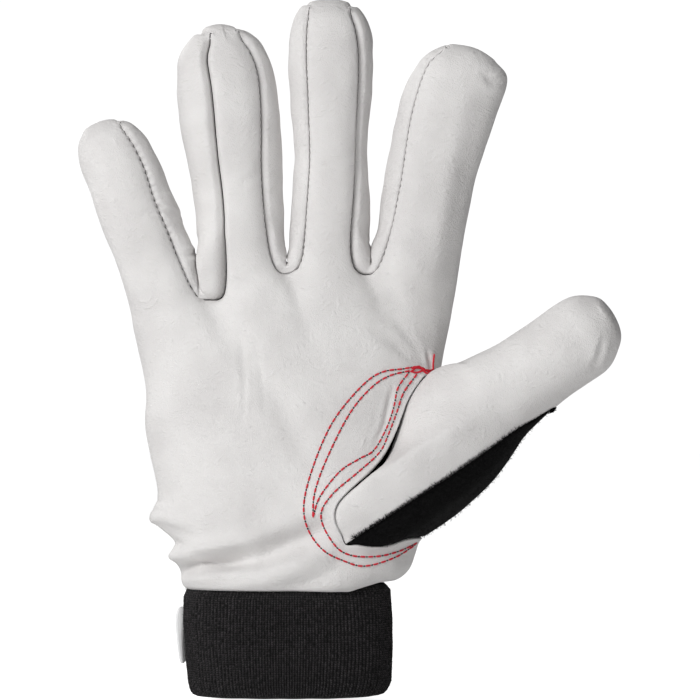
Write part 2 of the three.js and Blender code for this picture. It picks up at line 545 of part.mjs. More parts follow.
function buildThumb(hand) {
  // The rim of the hole: up its front edge, over the top, down the back edge and along the bottom
  const rim = [];
  for (let row = HOLE_FIRST_ROW; row <= HOLE_LAST_ROW; row += 1) rim.push(hand[row].front[HOLE_FRONT]);
  const [top, bottom] = [hand[HOLE_LAST_ROW], hand[HOLE_FIRST_ROW]];
  rim.push(...top.front.slice(HOLE_FRONT + 1), ...top.thumbSide, ...top.back.slice(HOLE_BACK).reverse());
  const overTop = rim.length - 1;
  for (let row = HOLE_LAST_ROW - 1; row >= HOLE_FIRST_ROW; row -= 1) rim.push(hand[row].back[HOLE_BACK]);
  rim.push(...bottom.back.slice(HOLE_BACK + 1));
  rim.push(...[...bottom.thumbSide].reverse(), ...bottom.front.slice(HOLE_FRONT + 1).reverse());

  const [base, tip] = [vec(...THUMB.base), vec(...THUMB.tip)];
  const length = base.distanceTo(tip);
  const axis = tip.clone().sub(base).normalize();
  const upper = vec(-axis.z, 0, axis.x).normalize();
  const front = axis.clone().cross(upper);

  // A round section: each rim place has its angle, the leather's share first and then the fabric's
  const sectionPoint = (section, i) => {
    const inLeather = i <= overTop;
    const degrees = inLeather
      ? mix(section.seam, THUMB.backSeam, i / overTop)
      : mix(THUMB.backSeam, section.seam - 360, (i - overTop) / (rim.length - overTop));
    const angle = THREE.MathUtils.degToRad(degrees);
    const reach = Math.cos(angle) > 0 ? section.upper : section.lower;
    const place = base.clone().addScaledVector(axis, section.along * length);
    return place.addScaledVector(upper, reach * Math.cos(angle))
      .addScaledVector(front, section.depth * Math.sin(angle));
  };

  let ring = rim;
  const addRow = (points, row) => {
    const next = points.map((point) => skin.add(point));
    ring.forEach((corner, i) => {
      const after = (i + 1) % ring.length;
      const fabric = i >= overTop && row < THUMB.fabricRows;
      skin.face(fabric ? 'thumb_back_fabric' : 'thumb_leather', corner, next[i], next[after], ring[after]);
    });
    ring = next;
  };
  const rimPoints = rim.map((i) => skin.points[i].clone());
  const shaft = THUMB.sections[0];
  for (let row = 0; row < THUMB.growRows; row += 1) {
    const t = (row + 1) / THUMB.growRows;
    const share = t ** THUMB.growPower;
    addRow(rimPoints.map((start, i) => {
      const end = sectionPoint(shaft, i);
      const startAlong = start.clone().sub(base).dot(axis);
      const endAlong = end.clone().sub(base).dot(axis);
      const place = start.clone().addScaledVector(axis, -startAlong).multiplyScalar(1 - share);
      place.addScaledVector(end.addScaledVector(axis, -endAlong), share);
      return place.addScaledVector(axis, mix(startAlong, endAlong, t));
    }), row);
  }
  THUMB.sections.slice(1).forEach((section, k) => {
    addRow(rim.map((corner, i) => sectionPoint(section, i)), THUMB.growRows + k);
  });

  // The tip is closed by a patch whose sides are the sides of the hole
  const upRows = HOLE_LAST_ROW - HOLE_FIRST_ROW;
  const turned = [...ring].reverse();
  const shifted = turned.map((corner, i) => turned[(i + turned.length - 1) % turned.length]);
  const last = THUMB.sections[THUMB.sections.length - 1];
  const columns = overTop - upRows;
  const across = [...Array(columns + 1).keys()].map((c) => c / columns);
  closeTip(shifted, columns, upRows, axis, (1 - last.along) * length, () => 'thumb_leather', across);
}

// A panel of the skin as a closed wall: its outer faces, the same faces a wall further in, and its rim.
// The rim is drawn back from the seam line by half the seam's gap.
function panelGeometry(panel, wall, normals) {
  const faces = skin.faces.filter((face) => face.panel === panel);
  const edges = new Map();
  faces.forEach((face) => face.corners.forEach((from, i) => {
    const to = face.corners[(i + 1) % 4];
    if (edges.has(`${to}_${from}`)) edges.delete(`${to}_${from}`);
    else edges.set(`${from}_${to}`, { from, to, face });
  }));
  const drawIn = new Map();
  for (const { from, to, face } of edges.values()) {
    const along = skin.points[to].clone().sub(skin.points[from]).normalize();
    const inward = skin.faceNormal(face).normalize().cross(along).normalize();
    [from, to].forEach((corner) => drawIn.set(corner, [...(drawIn.get(corner) ?? []), inward]));
  }
  const positions = [];
  const places = new Map();
  const cornerOf = (corner, inner) => {
    const key = `${corner}_${inner}`;
    if (!places.has(key)) {
      const place = skin.points[corner].clone();
      const pulls = drawIn.get(corner);
      if (pulls) {
        const sum = pulls.reduce((total, pull) => total.add(pull), vec(0, 0, 0));
        const miter = sum.lengthSq() / pulls.length;
        place.addScaledVector(sum, (SEAM_GAP / 2) / Math.max(0.6, miter));
      }
      if (inner) place.addScaledVector(normals[corner], -wall);
      places.set(key, positions.push(place) - 1);
    }
    return places.get(key);
  };
  // Each four-sided face is split along its longer diagonal
  const triangles = [];
  const square = (a, b, c, d) => {
    const longer = positions[a].distanceTo(positions[c]) >= positions[b].distanceTo(positions[d]);
    triangles.push(...(longer ? [a, b, c, a, c, d] : [b, c, d, b, d, a]));
  };
  for (const { corners } of faces) {
    square(...corners.map((corner) => cornerOf(corner, false)));
    square(...corners.map((corner) => cornerOf(corner, true)).reverse());
  }
  for (const { from, to } of edges.values()) {
    square(cornerOf(to, false), cornerOf(from, false), cornerOf(from, true), cornerOf(to, true));
  }
  const geometry = new THREE.BufferGeometry().setFromPoints(positions);
  geometry.setIndex(triangles);
  geometry.computeVertexNormals();
  return geometry;
}

// The cuff is a knitted tube, two layers thick, whose top follows the hand's hem
function cuffGeometry(hem) {
  const loop = [...hem.front, ...hem.thumbSide, ...[...hem.back].reverse(), ...[...hem.littleSide].reverse()];
  const top = loop.map((i) => skin.points[i].clone().add(vec(0, 0, -CUFF_TOP_GAP)));
  const [left, right] = [Math.min(...top.map((p) => p.x)), Math.max(...top.map((p) => p.x))];
  const depth = Math.max(...top.map((p) => Math.abs(p.y)));
  const rings = CUFF.map((section) => top.map((point) => {
    const share = (point.x - left) / (right - left);
    return vec(mix(section.left, section.right, share), (point.y * section.depth) / depth, section.z);
  }));
  rings.push(top);
  const inward = (point, wall) => {
    const flat = vec(point.x / (right * right), point.y / (depth * depth), 0).normalize();
    return point.clone().addScaledVector(flat, -wall);
  };
  const count = loop.length;
  const inner = rings.map((ring, row) => ring.map((point) => inward(point, row === 0 ? CUFF_WALL * 0.5 : CUFF_WALL)));
  // Up the outside, over the top edge and down the inside, then across the lower fold
  const wallRings = [...rings, ...inner.reverse()];
  const positions = wallRings.flat();
  const triangles = [];
  wallRings.forEach((ring, row) => {
    const after = (row + 1) % wallRings.length;
    for (let i = 0; i < count; i += 1) {
      const [a, b] = [row * count + i, row * count + ((i + 1) % count)];
      const [c, d] = [after * count + ((i + 1) % count), after * count + i];
      triangles.push(a, b, c, a, c, d);
    }
  });
  const geometry = new THREE.BufferGeometry().setFromPoints(positions);
  geometry.setIndex(triangles);
  geometry.computeVertexNormals();
  return geometry;
}

// The tab is a strip bent along its path, with the corners of its free end cut off
function tabGeometry() {
  const path = TAB.path.map(([x, y]) => vec(x, y, 0));
  const positions = [];
  path.forEach((place, i) => {
    const before = path[Math.max(0, i - 1)];
    const after = path[Math.min(path.length - 1, i + 1)];
    const along = after.clone().sub(before).normalize();
    const out = vec(along.y, -along.x, 0);
    const atEnd = i === path.length - 1;
    const lowPlace = atEnd ? before.clone().lerp(place, TAB.slant) : place;
    const high = TAB.high - (atEnd ? TAB.cut : 0);
    [[0, TAB.low], [TAB.thickness, TAB.low], [TAB.thickness, high], [0, high]].forEach(([reach, z]) => {
      const foot = z === TAB.low ? lowPlace : place;
      positions.push(foot.clone().addScaledVector(out, reach).setZ(z));
    });
  });
  const triangles = [];
  const square = (a, b, c, d) => triangles.push(a, b, c, a, c, d);
  for (let i = 0; i + 1 < path.length; i += 1) {
    for (let k = 0; k < 4; k += 1) {
      const after = (k + 1) % 4;
      square(i * 4 + k, (i + 1) * 4 + k, (i + 1) * 4 + after, i * 4 + after);
    }
  }
  const end = (path.length - 1) * 4;
  square(0, 1, 2, 3);
  square(end + 3, end + 2, end + 1, end);
  const geometry = new THREE.BufferGeometry().setFromPoints(positions);
  geometry.setIndex(triangles);
  geometry.computeVertexNormals();
  return geometry;
}

const hand = buildHand();
const foot = hand[CROTCH_ROW];
const webs = WEBS.map((web, index) => buildWeb(index, foot));
DIGITS.forEach((digit, index) => buildFinger(index, foot, webs));
buildThumb(hand);

const materials = {
  leather: new THREE.MeshStandardMaterial({ color: COLOURS.leather, roughness: 0.55, metalness: 0 }),
  fabric: new THREE.MeshStandardMaterial({ color: COLOURS.fabric, roughness: 0.95, metalness: 0 }),
  knit: new THREE.MeshStandardMaterial({ color: COLOURS.knit, roughness: 0.9, metalness: 0 }),
};

const glove = new THREE.Group();
function addPiece(name, geometry, material) {
  const mesh = new THREE.Mesh(geometry, material);
  mesh.name = name;
  glove.add(mesh);
}

const normals = skin.pointNormals();
const PANELS = [
  { name: 'palm_leather', wall: LEATHER_WALL, material: materials.leather },
  ...WEBS.map((web) => ({ name: `fourchette_${web.name}`, wall: LEATHER_WALL, material: materials.leather })),
  { name: 'thumb_leather', wall: LEATHER_WALL, material: materials.leather },
  { name: 'back_fabric', wall: FABRIC_WALL, material: materials.fabric },
  { name: 'thumb_back_fabric', wall: FABRIC_WALL, material: materials.fabric },
];
PANELS.forEach(({ name, wall, material }) => addPiece(name, panelGeometry(name, wall, normals), material));
addPiece('knit_cuff', cuffGeometry(hand[0]), materials.knit);
addPiece('cuff_tab', tabGeometry(), materials.leather);

export default glove;
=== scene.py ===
"""Leather palm work glove with a knit cuff: the looks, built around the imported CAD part."""

import math
import random
from functools import partial

import bmesh
import bpy
import numpy as np
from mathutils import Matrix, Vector, kdtree, noise
from mathutils.bvhtree import BVHTree


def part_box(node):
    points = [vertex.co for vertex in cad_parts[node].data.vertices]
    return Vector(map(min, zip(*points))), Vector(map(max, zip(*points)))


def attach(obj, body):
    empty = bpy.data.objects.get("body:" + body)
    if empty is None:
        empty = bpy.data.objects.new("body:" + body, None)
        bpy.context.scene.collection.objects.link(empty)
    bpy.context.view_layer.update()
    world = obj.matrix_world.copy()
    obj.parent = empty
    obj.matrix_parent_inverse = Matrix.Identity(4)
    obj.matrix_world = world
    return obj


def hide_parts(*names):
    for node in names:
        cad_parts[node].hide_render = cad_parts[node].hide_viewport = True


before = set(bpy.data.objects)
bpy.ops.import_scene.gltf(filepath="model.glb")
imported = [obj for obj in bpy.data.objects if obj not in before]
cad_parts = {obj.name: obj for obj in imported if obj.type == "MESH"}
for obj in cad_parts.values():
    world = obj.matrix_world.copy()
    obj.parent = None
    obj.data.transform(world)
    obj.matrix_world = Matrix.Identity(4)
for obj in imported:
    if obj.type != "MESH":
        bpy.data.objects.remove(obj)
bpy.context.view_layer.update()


# Palm: one piece of white grain leather, 1.4 mm thick, for the palm and the fronts of the four fingers.
# It is sewn face to face with its neighbours and turned, so each edge rolls down into its seam.

MM = 0.001
PHOTO_SCALE = 0.3592 * MM
PHOTO_ORIGIN = (288, 697)
SAME_PLACE = 0.002 * MM
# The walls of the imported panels, whose exact length tells their rim faces
WALLS = {"palm_leather": 1.4 * MM, "thumb_leather": 1.4 * MM, "fourchette_little_ring": 1.4 * MM,
         "fourchette_ring_middle": 1.4 * MM, "fourchette_middle_index": 1.4 * MM,
         "back_fabric": 1.8 * MM, "thumb_back_fabric": 1.8 * MM, "cuff_tab": 1.2 * MM}
# The leather's two tones: the darker one shows in slow random patches and as painted shade in the grain's
# valleys
LEATHER_WHITE = (0.80, 0.785, 0.775, 1)
LEATHER_SHADE = (0.70, 0.682, 0.675, 1)


def photo_place(px, py):
    """A pixel of the 700 x 700 photograph as (x, z) in the glove's own plane."""
    return (px - PHOTO_ORIGIN[0]) * PHOTO_SCALE, (PHOTO_ORIGIN[1] - py) * PHOTO_SCALE


def use_only(piece):
    """Makes a piece the one that operators act on."""
    if bpy.context.object and bpy.context.object.mode != "OBJECT":
        bpy.ops.object.mode_set(mode="OBJECT")
    bpy.ops.object.select_all(action="DESELECT")
    piece.select_set(True)
    bpy.context.view_layer.objects.active = piece


def tree_of_faces(meshes):
    """One search tree over the faces of several meshes."""
    corners, faces = [], []
    for mesh in meshes:
        start = len(corners)
        corners += [v.co for v in mesh.vertices]
        faces += [[start + i for i in p.vertices] for p in mesh.polygons]
    return BVHTree.FromPolygons(corners, faces)


def looks_out(tree, spot, normal, lift=0.05):
    """Whether a place looks past all the faces of the tree, seen from lift mm above it."""
    return tree.ray_cast(spot + normal * lift * MM, normal)[0] is None


WHOLE = tree_of_faces([node.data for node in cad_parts.values()])


def outer_skin(node, name):
    """The outer skin of a CAD panel as one open sheet of four-sided faces."""
    wall = WALLS[node]
    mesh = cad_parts[node].data.copy()
    mesh.materials.clear()
    piece = bpy.data.objects.new(name, mesh)
    bpy.context.collection.objects.link(piece)
    use_only(piece)
    bpy.ops.object.mode_set(mode="EDIT")
    bpy.ops.mesh.select_all(action="SELECT")
    bpy.ops.mesh.remove_doubles(threshold=SAME_PLACE)
    bpy.ops.mesh.tris_convert_to_quads(face_threshold=math.pi, shape_threshold=math.pi)
    bpy.ops.object.mode_set(mode="OBJECT")

    # A rim face has two opposite edges that are exactly one wall long
    sheet = bmesh.new()
    sheet.from_mesh(mesh)
    through = {edge for edge in sheet.edges if abs(edge.calc_length() - wall) < SAME_PLACE}
    rim = {f for f in sheet.faces if sum(edge in through for edge in f.edges) > 1}
    parts = []
    left = set(sheet.faces) - rim
    while left:
        part, front = set(), [left.pop()]
        while front:
            face = front.pop()
            part.add(face)
            near = {f for edge in face.edges for f in edge.link_faces if f in left}
            left -= near
            front.extend(near)
        parts.append(part)
    # The inner skin looks across the hollow at another wall, and the outer skin mostly at nothing
    met = [sum(not looks_out(WHOLE, f.calc_center_median(), f.normal, 0.1) for f in part) / len(part)
           for part in parts]
    skin = parts[met.index(min(met))]
    bmesh.ops.delete(sheet, geom=[f for f in sheet.faces if f not in skin], context="FACES")
    sheet.to_mesh(mesh)
    sheet.free()
    return piece


def points_of(piece):
    """The vertices of a piece as rows of x, y, z in metres."""
    points = np.empty(len(piece.data.vertices) * 3, np.float32)
    piece.data.vertices.foreach_get("co", points)
    return points.reshape(-1, 3).astype(float)


def set_points(piece, points):
    piece.data.vertices.foreach_set("co", np.asarray(points, np.float32).ravel())
    piece.data.update()


def normals_of(piece):
    return np.array([v.vector for v in piece.data.vertex_normals])


def edge_points(piece):
    """Indices of the vertices on the sheet's open edges."""
    sheet = bmesh.new()
    sheet.from_mesh(piece.data)
    found = sorted({v.index for edge in sheet.edges if edge.is_boundary for v in edge.verts})
    sheet.free()
    return found


def sharp_corners(piece):
    """Indices of the edge vertices where the sheet's edge turns by more than 60 degrees."""
    sheet = bmesh.new()
    sheet.from_mesh(piece.data)
    found = []
    for vert in sheet.verts:
        ends = [edge.other_vert(vert).co for edge in vert.link_edges if edge.is_boundary]
        if len(ends) == 2 and (vert.co - ends[0]).angle(ends[1] - vert.co, 0) > math.radians(60):
            found.append(vert.index)
    sheet.free()
    return found


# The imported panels' skins and edges, and the corners where the side strips end at the fingertips
FINGERTIPS_FROM = 180 * MM
CAD_SKINS, CAD_EDGES, CAD_CORNERS = {}, {}, []
for node_name in WALLS:
    sheet = outer_skin(node_name, "skin")
    CAD_SKINS[node_name] = tree_of_faces([sheet.data])
    CAD_EDGES[node_name] = points_of(sheet)[edge_points(sheet)]
    if node_name.startswith("fourchette"):
        CAD_CORNERS += [p for p in points_of(sheet)[sharp_corners(sheet)] if p[2] > FINGERTIPS_FROM]
    bpy.data.objects.remove(sheet)


def neighbours_at(point, own_node, reach):
    """The panels within reach of a point of another panel, nearest first, each with its distance,
    name and outward normal there."""
    found = []
    for name, tree in CAD_SKINS.items():
        normal, _, far = tree.find_nearest(point, reach)[1:]
        if name != own_node and far is not None:
            found.append((far, name, normal))
    return sorted(found, key=lambda item: item[0])


def tree_of(points):
    tree = kdtree.KDTree(len(points))
    for i, point in enumerate(points):
        tree.insert(point, i)
    tree.balance()
    return tree


# The places where three panels meet or a side strip ends in a corner
MEETING = 0.8 * MM
JUNCTIONS = tree_of([point for node_name, edge in CAD_EDGES.items() for point in edge
                     if len(neighbours_at(point, node_name, MEETING)) > 1] + CAD_CORNERS)


def eased(share):
    """From 0 to 1 with a soft start and end."""
    share = np.clip(share, 0, 1)
    return share * share * (3 - 2 * share)


def calm_at(points, reach=4.5):
    """From 0 at the places where three panels meet to 1 at reach mm from them."""
    return eased(np.array([JUNCTIONS.find(point)[2] for point in points]) / MM / reach)


# How closely a smooth sheet follows its first corners, in how many rounds it is fitted to them,
# and how near a junction a corner stays sharp
TIGHTNESS = 0.7
FITTING_ROUNDS = 6
SHARP_REACH = 0.6 * MM


def smooth_through(piece, own_node, levels):
    """Subdivides a sheet so that its smooth surface stays near its first corners.
    Where three panels meet, the sheet keeps a sharp corner, so that all three still meet."""
    corners = points_of(piece)
    cage = corners.copy()
    creases = piece.data.attributes.new("crease_vert", "FLOAT", "POINT")
    for i in edge_points(piece):
        if JUNCTIONS.find(corners[i])[2] < SHARP_REACH:
            creases.data[i].value = 1
    smooth = piece.modifiers.new("smooth", "SUBSURF")
    smooth.levels = smooth.render_levels = 1
    smooth.boundary_smooth = "ALL"
    for _ in range(FITTING_ROUNDS):
        set_points(piece, cage)
        shown = piece.evaluated_get(bpy.context.evaluated_depsgraph_get())
        surface = np.array([v.co for v in shown.data.vertices[: len(corners)]])
        cage += corners - surface
    set_points(piece, corners + TIGHTNESS * (cage - corners))
    smooth.levels = smooth.render_levels = levels
    use_only(piece)
    bpy.ops.object.modifier_apply(modifier="smooth")


EDGE_BAND = 2.2 * MM


def refine_edge(piece):
    """Splits every face that lies within EDGE_BAND of the sheet's open edge."""
    tree = tree_of(points_of(piece)[edge_points(piece)])
    sheet = bmesh.new()
    sheet.from_mesh(piece.data)
    near = {f for f in sheet.faces if tree.find(f.calc_center_median())[2] < EDGE_BAND}
    edges = {edge for face in near for edge in face.edges}
    bmesh.ops.subdivide_edges(sheet, edges=list(edges), cuts=1, use_grid_fill=True)
    sheet.to_mesh(piece.data)
    sheet.free()


# How each seam lies, in mm: roll is the radius of the rolled edge, sink how far the edge goes
# down, wide and dip a broader hollow beside it, reach how far the edge grows to meet its partner,
# and pucker how much each stitch draws the edge in (a share of sink).
SEAMS = {
    "little_right": (1.9, 1.2, 4.0, 0.35, 0.14, 0.28),
    "ring_left": (2.4, 2.3, 3.0, 0.3, 0.06, 0.0),
    "ring_right": (2.2, 1.6, 6.0, 0.9, 0.13, 0.07),
    "middle_left": (1.7, 1.1, 2.5, 0.15, 0.13, 0.16),
    "middle_right": (2.0, 1.7, 3.0, 0.3, 0.12, 0.08),
    "index_left": (1.2, 0.6, 2.0, 0.1, 0.17, 0.4),
    "back": (2.0, 1.3, 3.0, 0.2, 0.15, 0.15),
    "thumb": (2.0, -0.7, 2.0, 0.0, 0.9, 0.0),
    "hem": (1.8, 1.3, 3.0, 0.3, 0.0, 0.0),
}
# Between two fingers: the middle line as x at a height and its slope, in mm, and the seams that
# lie left and right of it
FINGER_GAPS = {
    "little_ring": (-28.4, 145, -0.25, "little_right", "ring_left"),
    "ring_middle": (0.2, 145, 0.0, "ring_right", "middle_left"),
    "middle_index": (28.8, 152, 0.1, "middle_right", "index_left"),
}
# From one drawn stitch to the next and how far its pull reaches, in mm
STITCH_DRAW = 2.4
DRAW_REACH = 1.6
# How far an edge looks for its partner, and over how far seams and their facings are evened out
PARTNER_REACH = 3 * MM
SEAM_BLEND = 2.0 * MM
FACING_BLEND = 3.5 * MM


def seam_at(point, partner):
    """The name of the seam that an edge point belongs to."""
    if partner is None or partner == "cuff_tab":
        return "hem"
    if "thumb" in partner or partner.startswith("back"):
        return "thumb" if "thumb" in partner else "back"
    gap = next((gap for gap in FINGER_GAPS if gap in partner), "middle_index")
    middle, height, slope, left, right = FINGER_GAPS[gap]
    return left if point[0] / MM < middle + slope * (point[2] / MM - height) else right


def rim_outwards(piece, rim):
    """For every rim vertex: the way in the sheet's own plane that leads off its edge."""
    sheet = bmesh.new()
    sheet.from_mesh(piece.data)
    sheet.verts.ensure_lookup_table()
    ways = []
    for i in rim:
        way = Vector()
        for edge in sheet.verts[i].link_edges:
            if edge.is_boundary:
                run = (edge.verts[1].co - edge.verts[0].co).normalized()
                off = (edge.verts[0].co + edge.verts[1].co) / 2 - edge.link_faces[0].calc_center_median()
                way += (off - run * off.dot(run)).normalized()
        ways.append(way.normalized())
    sheet.free()
    return np.array(ways)


def lay_seams(piece, own_node, seams=SEAMS, seam_of=seam_at, deepen=None):
    """Rolls the sheet's edges down into their seams and closes the gap to the next panel."""
    rim = edge_points(piece)
    points, normals = points_of(piece), normals_of(piece)
    tree = tree_of(points[rim])
    styles, facings = [], []
    for i in rim:
        near = neighbours_at(points[i], own_node, PARTNER_REACH)
        styles.append(seams[seam_of(points[i], near[0][1] if near else None)])
        own_facing = CAD_SKINS[own_node].find_nearest(points[i])[1]
        facings.append(own_facing + near[0][2] if near else own_facing)
    styles, facings = np.array(styles), np.array(facings)

    def blended(values, blend):
        return np.array([values[[j for _, j, _ in tree.find_range(points[i], blend)]].mean(0) for i in rim])

    even, seam_normals = blended(styles, SEAM_BLEND), blended(facings, FACING_BLEND)
    seam_normals /= np.linalg.norm(seam_normals, axis=1)[:, None]
    if deepen:
        even[:, :2] += deepen(points[rim])[:, None]
    found = [tree.find(point)[1:] for point in points]
    far = np.array([distance for _, distance in found]) / MM
    nearest = np.array([i for i, _ in found])
    roll, sink, wide, dip, reach, pucker = even[nearest].T
    inside = np.clip(1 - far / roll, 0, 1)
    down = sink * inside ** 2 + dip * np.exp(-2 * (far / wide) ** 2)
    grow = reach * np.clip(1 - far / np.maximum(1.2, 1.5 * reach), 0, 1)
    ways = rim_outwards(piece, rim)[nearest]
    calm = 0.1 + 0.9 * calm_at(points)
    drawn = np.sin(points[:, 2] / MM * 2 * math.pi / STITCH_DRAW) * np.exp(-(far / DRAW_REACH) ** 2)
    down *= calm * (1 + pucker * drawn)
    grow *= calm
    share = np.clip(1.2 - far / (1.5 * roll), 0, 1)[:, None]
    normals = normals * (1 - share) + seam_normals[nearest] * share
    normals /= np.linalg.norm(normals, axis=1)[:, None]
    set_points(piece, points - normals * down[:, None] * MM + ways * grow[:, None] * MM)


def stroke(points, line, width, depth, roll=0.35):
    """A soft valley along a line of photograph pixels, with a low roll on each side. Depth in mm."""
    places = np.array([photo_place(*spot) for spot in line]) / MM
    flat = points[:, [0, 2]] / MM
    best = np.full(len(flat), 1e9)
    run = np.zeros(len(flat))
    lengths = np.linalg.norm(np.diff(places, axis=0), axis=1)
    passed = np.concatenate([[0], np.cumsum(lengths)])
    for i, length in enumerate(lengths):
        start, way = places[i], places[i + 1] - places[i]
        share = np.clip((flat - start) @ way / length ** 2, 0, 1)
        far = np.linalg.norm(flat - start - share[:, None] * way, axis=1)
        closer = far < best
        best[closer] = far[closer]
        run[closer] = (passed[i] + share * length)[closer] / passed[-1]
    fade = np.sin(np.pi * np.clip(run, 0.02, 0.98)) ** 0.5
    cut = np.exp(-(best / width) ** 2)
    side = roll * np.exp(-((best - 1.8 * width) / width) ** 2)
    return -depth * fade * (cut - side)


def far_from(points, place):
    """How far each point lies from a place of the photograph, in mm, as seen from the front."""
    return np.linalg.norm(points[:, [0, 2]] / MM - np.array(photo_place(*place)) / MM, axis=1)


def nudge(points, place, way, reach):
    """Shifts the points round a place of the photograph by way, in its pixels, fading over reach mm."""
    share = np.exp(-(far_from(points, place) / reach) ** 2)
    points[:, 0] += way[0] * PHOTO_SCALE * share
    points[:, 2] -= way[1] * PHOTO_SCALE * share


def unevenness(points, size, height, seed):
    """Slow random swells, size and height in mm."""
    shift = Vector((seed * 3.7, seed * 1.3, seed * 2.1))
    return height * np.array([noise.noise(Vector(p) / (size * MM) + shift) for p in points])


# The finished leather's wall, and the share of its faces that stay on the hidden inside
LEATHER_WALL = 1.1 * MM
INNER_FACES = 0.6


def wall_inwards(piece, wall):
    """Gives a sheet its thickness on the inside, where the wall is left with fewer faces."""
    use_only(piece)
    inner = piece.vertex_groups.new(name="inner")
    solid = piece.modifiers.new("wall", "SOLIDIFY")
    solid.thickness = wall
    solid.offset = -1
    solid.shell_vertex_group = inner.name
    bpy.ops.object.modifier_apply(modifier="wall")
    fewer = piece.modifiers.new("fewer", "DECIMATE")
    fewer.ratio = INNER_FACES
    fewer.vertex_group = inner.name
    bpy.ops.object.modifier_apply(modifier="fewer")
    bpy.ops.object.shade_smooth()


def add_node(tree, kind, values=None, links=None, **settings):
    """A shader node with its settings, socket values and incoming links."""
    node = tree.nodes.new(kind)
    for key, value in settings.items():
        setattr(node, key, value)
    for key, value in (values or {}).items():
        node.inputs[key].default_value = value
    for key, socket in (links or {}).items():
        tree.links.new(socket, node.inputs[key])
    return node


def reckon(tree, operation, *terms):
    """The result of a math node over sockets and plain numbers."""
    node = add_node(tree, "ShaderNodeMath", operation=operation)
    for slot, term in zip(node.inputs, terms):
        if isinstance(term, float):
            slot.default_value = term
        else:
            tree.links.new(term, slot)
    return node.outputs["Value"]


def node_group(name, inputs, outputs):
    """A node group with named inputs and outputs, and the nodes at its two ends."""
    group = bpy.data.node_groups.new(name, "ShaderNodeTree")
    for label, kind, value in inputs:
        socket = group.interface.new_socket(label, in_out="INPUT", socket_type=kind)
        if value is not None:
            socket.default_value = value
    for label, kind in outputs:
        group.interface.new_socket(label, in_out="OUTPUT", socket_type=kind)
    return group, group.nodes.new("NodeGroupInput"), group.nodes.new("NodeGroupOutput")


def leather_grain():
    """Fine pebbled grain with slow random tone and painted shade in the valleys between the pebbles: Height
    in metres and Tone from 0 to 1.
    """
    group, given, out = node_group(
        "leather_grain",
        [("Vector", "NodeSocketVector", None), ("Pebbles", "NodeSocketFloat", 2000.0),
         ("Relief", "NodeSocketFloat", 0.00002), ("Wrinkle", "NodeSocketFloat", 0.00012)],
        [("Height", "NodeSocketFloat"), ("Tone", "NodeSocketFloat")])
    cells = add_node(group, "ShaderNodeTexVoronoi", feature="DISTANCE_TO_EDGE",
                     links={"Vector": given.outputs["Vector"], "Scale": given.outputs["Pebbles"]})
    pebble = add_node(group, "ShaderNodeMapRange", interpolation_type="SMOOTHSTEP",
                      values={"From Max": 0.32}, links={"Value": cells.outputs["Distance"]})
    sway = add_node(group, "ShaderNodeTexNoise", values={"Scale": 70.0, "Detail": 1.0},
                    links={"Vector": given.outputs["Vector"]})
    swayed = add_node(group, "ShaderNodeMix", data_type="VECTOR", values={"Factor": 0.012},
                      links={"A": given.outputs["Vector"], "B": sway.outputs["Color"]})
    across = add_node(group, "ShaderNodeVectorMath", operation="MULTIPLY", values={1: (0.7, 0.7, 1.3)},
                      links={0: swayed.outputs["Result"]})
    creases = add_node(group, "ShaderNodeTexNoise", noise_type="RIDGED_MULTIFRACTAL",
                       values={"Scale": 520.0, "Detail": 4.0, "Roughness": 0.6, "Lacunarity": 2.1},
                       links={"Vector": across.outputs["Vector"]})
    slow = add_node(group, "ShaderNodeTexNoise", values={"Scale": 45.0, "Detail": 2.0},
                    links={"Vector": given.outputs["Vector"]})
    patch = add_node(group, "ShaderNodeMapRange", values={"From Min": 0.35, "From Max": 0.65},
                     links={"Value": slow.outputs["Fac"]})
    fine = reckon(group, "MULTIPLY", pebble.outputs["Result"], given.outputs["Relief"])
    rough = reckon(group, "MULTIPLY", creases.outputs["Fac"], given.outputs["Wrinkle"])
    # Painted shade: the tone darkens towards the shade colour in the valleys between the pebbles
    pebble_valley_shade = reckon(group, "MULTIPLY", pebble.outputs["Result"], 0.15)
    tone = reckon(group, "MULTIPLY_ADD", patch.outputs["Result"], 0.85, pebble_valley_shade)
    group.links.new(reckon(group, "ADD", fine, rough), out.inputs["Height"])
    group.links.new(tone, out.inputs["Tone"])
    return group


GRAIN = leather_grain()


def plain_finish(name, roughness, specular):
    """A new material with these two values, and its node tree."""
    material = bpy.data.materials.new(name)
    material.use_nodes = True
    shader = material.node_tree.nodes["Principled BSDF"]
    shader.inputs["Roughness"].default_value = roughness
    shader.inputs["Specular IOR Level"].default_value = specular
    return material, material.node_tree


def paint(tree, dark, light, tone, height, strength=1.0, distance=1.0):
    """Colours the surface between dark and light by tone and raises it by height."""
    shader = tree.nodes["Principled BSDF"]
    colour = add_node(tree, "ShaderNodeMix", data_type="RGBA", values={"A": dark, "B": light},
                      links={"Factor": tone})
    bump = add_node(tree, "ShaderNodeBump", values={"Strength": strength, "Distance": distance},
                    links={"Height": height})
    tree.links.new(colour.outputs["Result"], shader.inputs["Base Color"])
    tree.links.new(bump.outputs["Normal"], shader.inputs["Normal"])


def leather(name, light, shade, pebbles, relief, wrinkle, roughness):
    """Grain leather: pebbles in a metre, and the heights of the pebbles and wrinkles in metres."""
    material, tree = plain_finish(name, roughness, 0.35)
    place = add_node(tree, "ShaderNodeTexCoord")
    grain = add_node(tree, "ShaderNodeGroup", node_tree=GRAIN,
                     values={"Pebbles": pebbles, "Relief": relief, "Wrinkle": wrinkle},
                     links={"Vector": place.outputs["Object"]})
    paint(tree, shade, light, grain.outputs["Tone"], grain.outputs["Height"])
    return material


palm_leather = leather("palm_grain_leather", LEATHER_WHITE, LEATHER_SHADE, pebbles=1500.0,
                       relief=0.00007, wrinkle=0.00028, roughness=0.55)

palm = outer_skin("palm_leather", "palm")
smooth_through(palm, "palm_leather", levels=3)
refine_edge(palm)

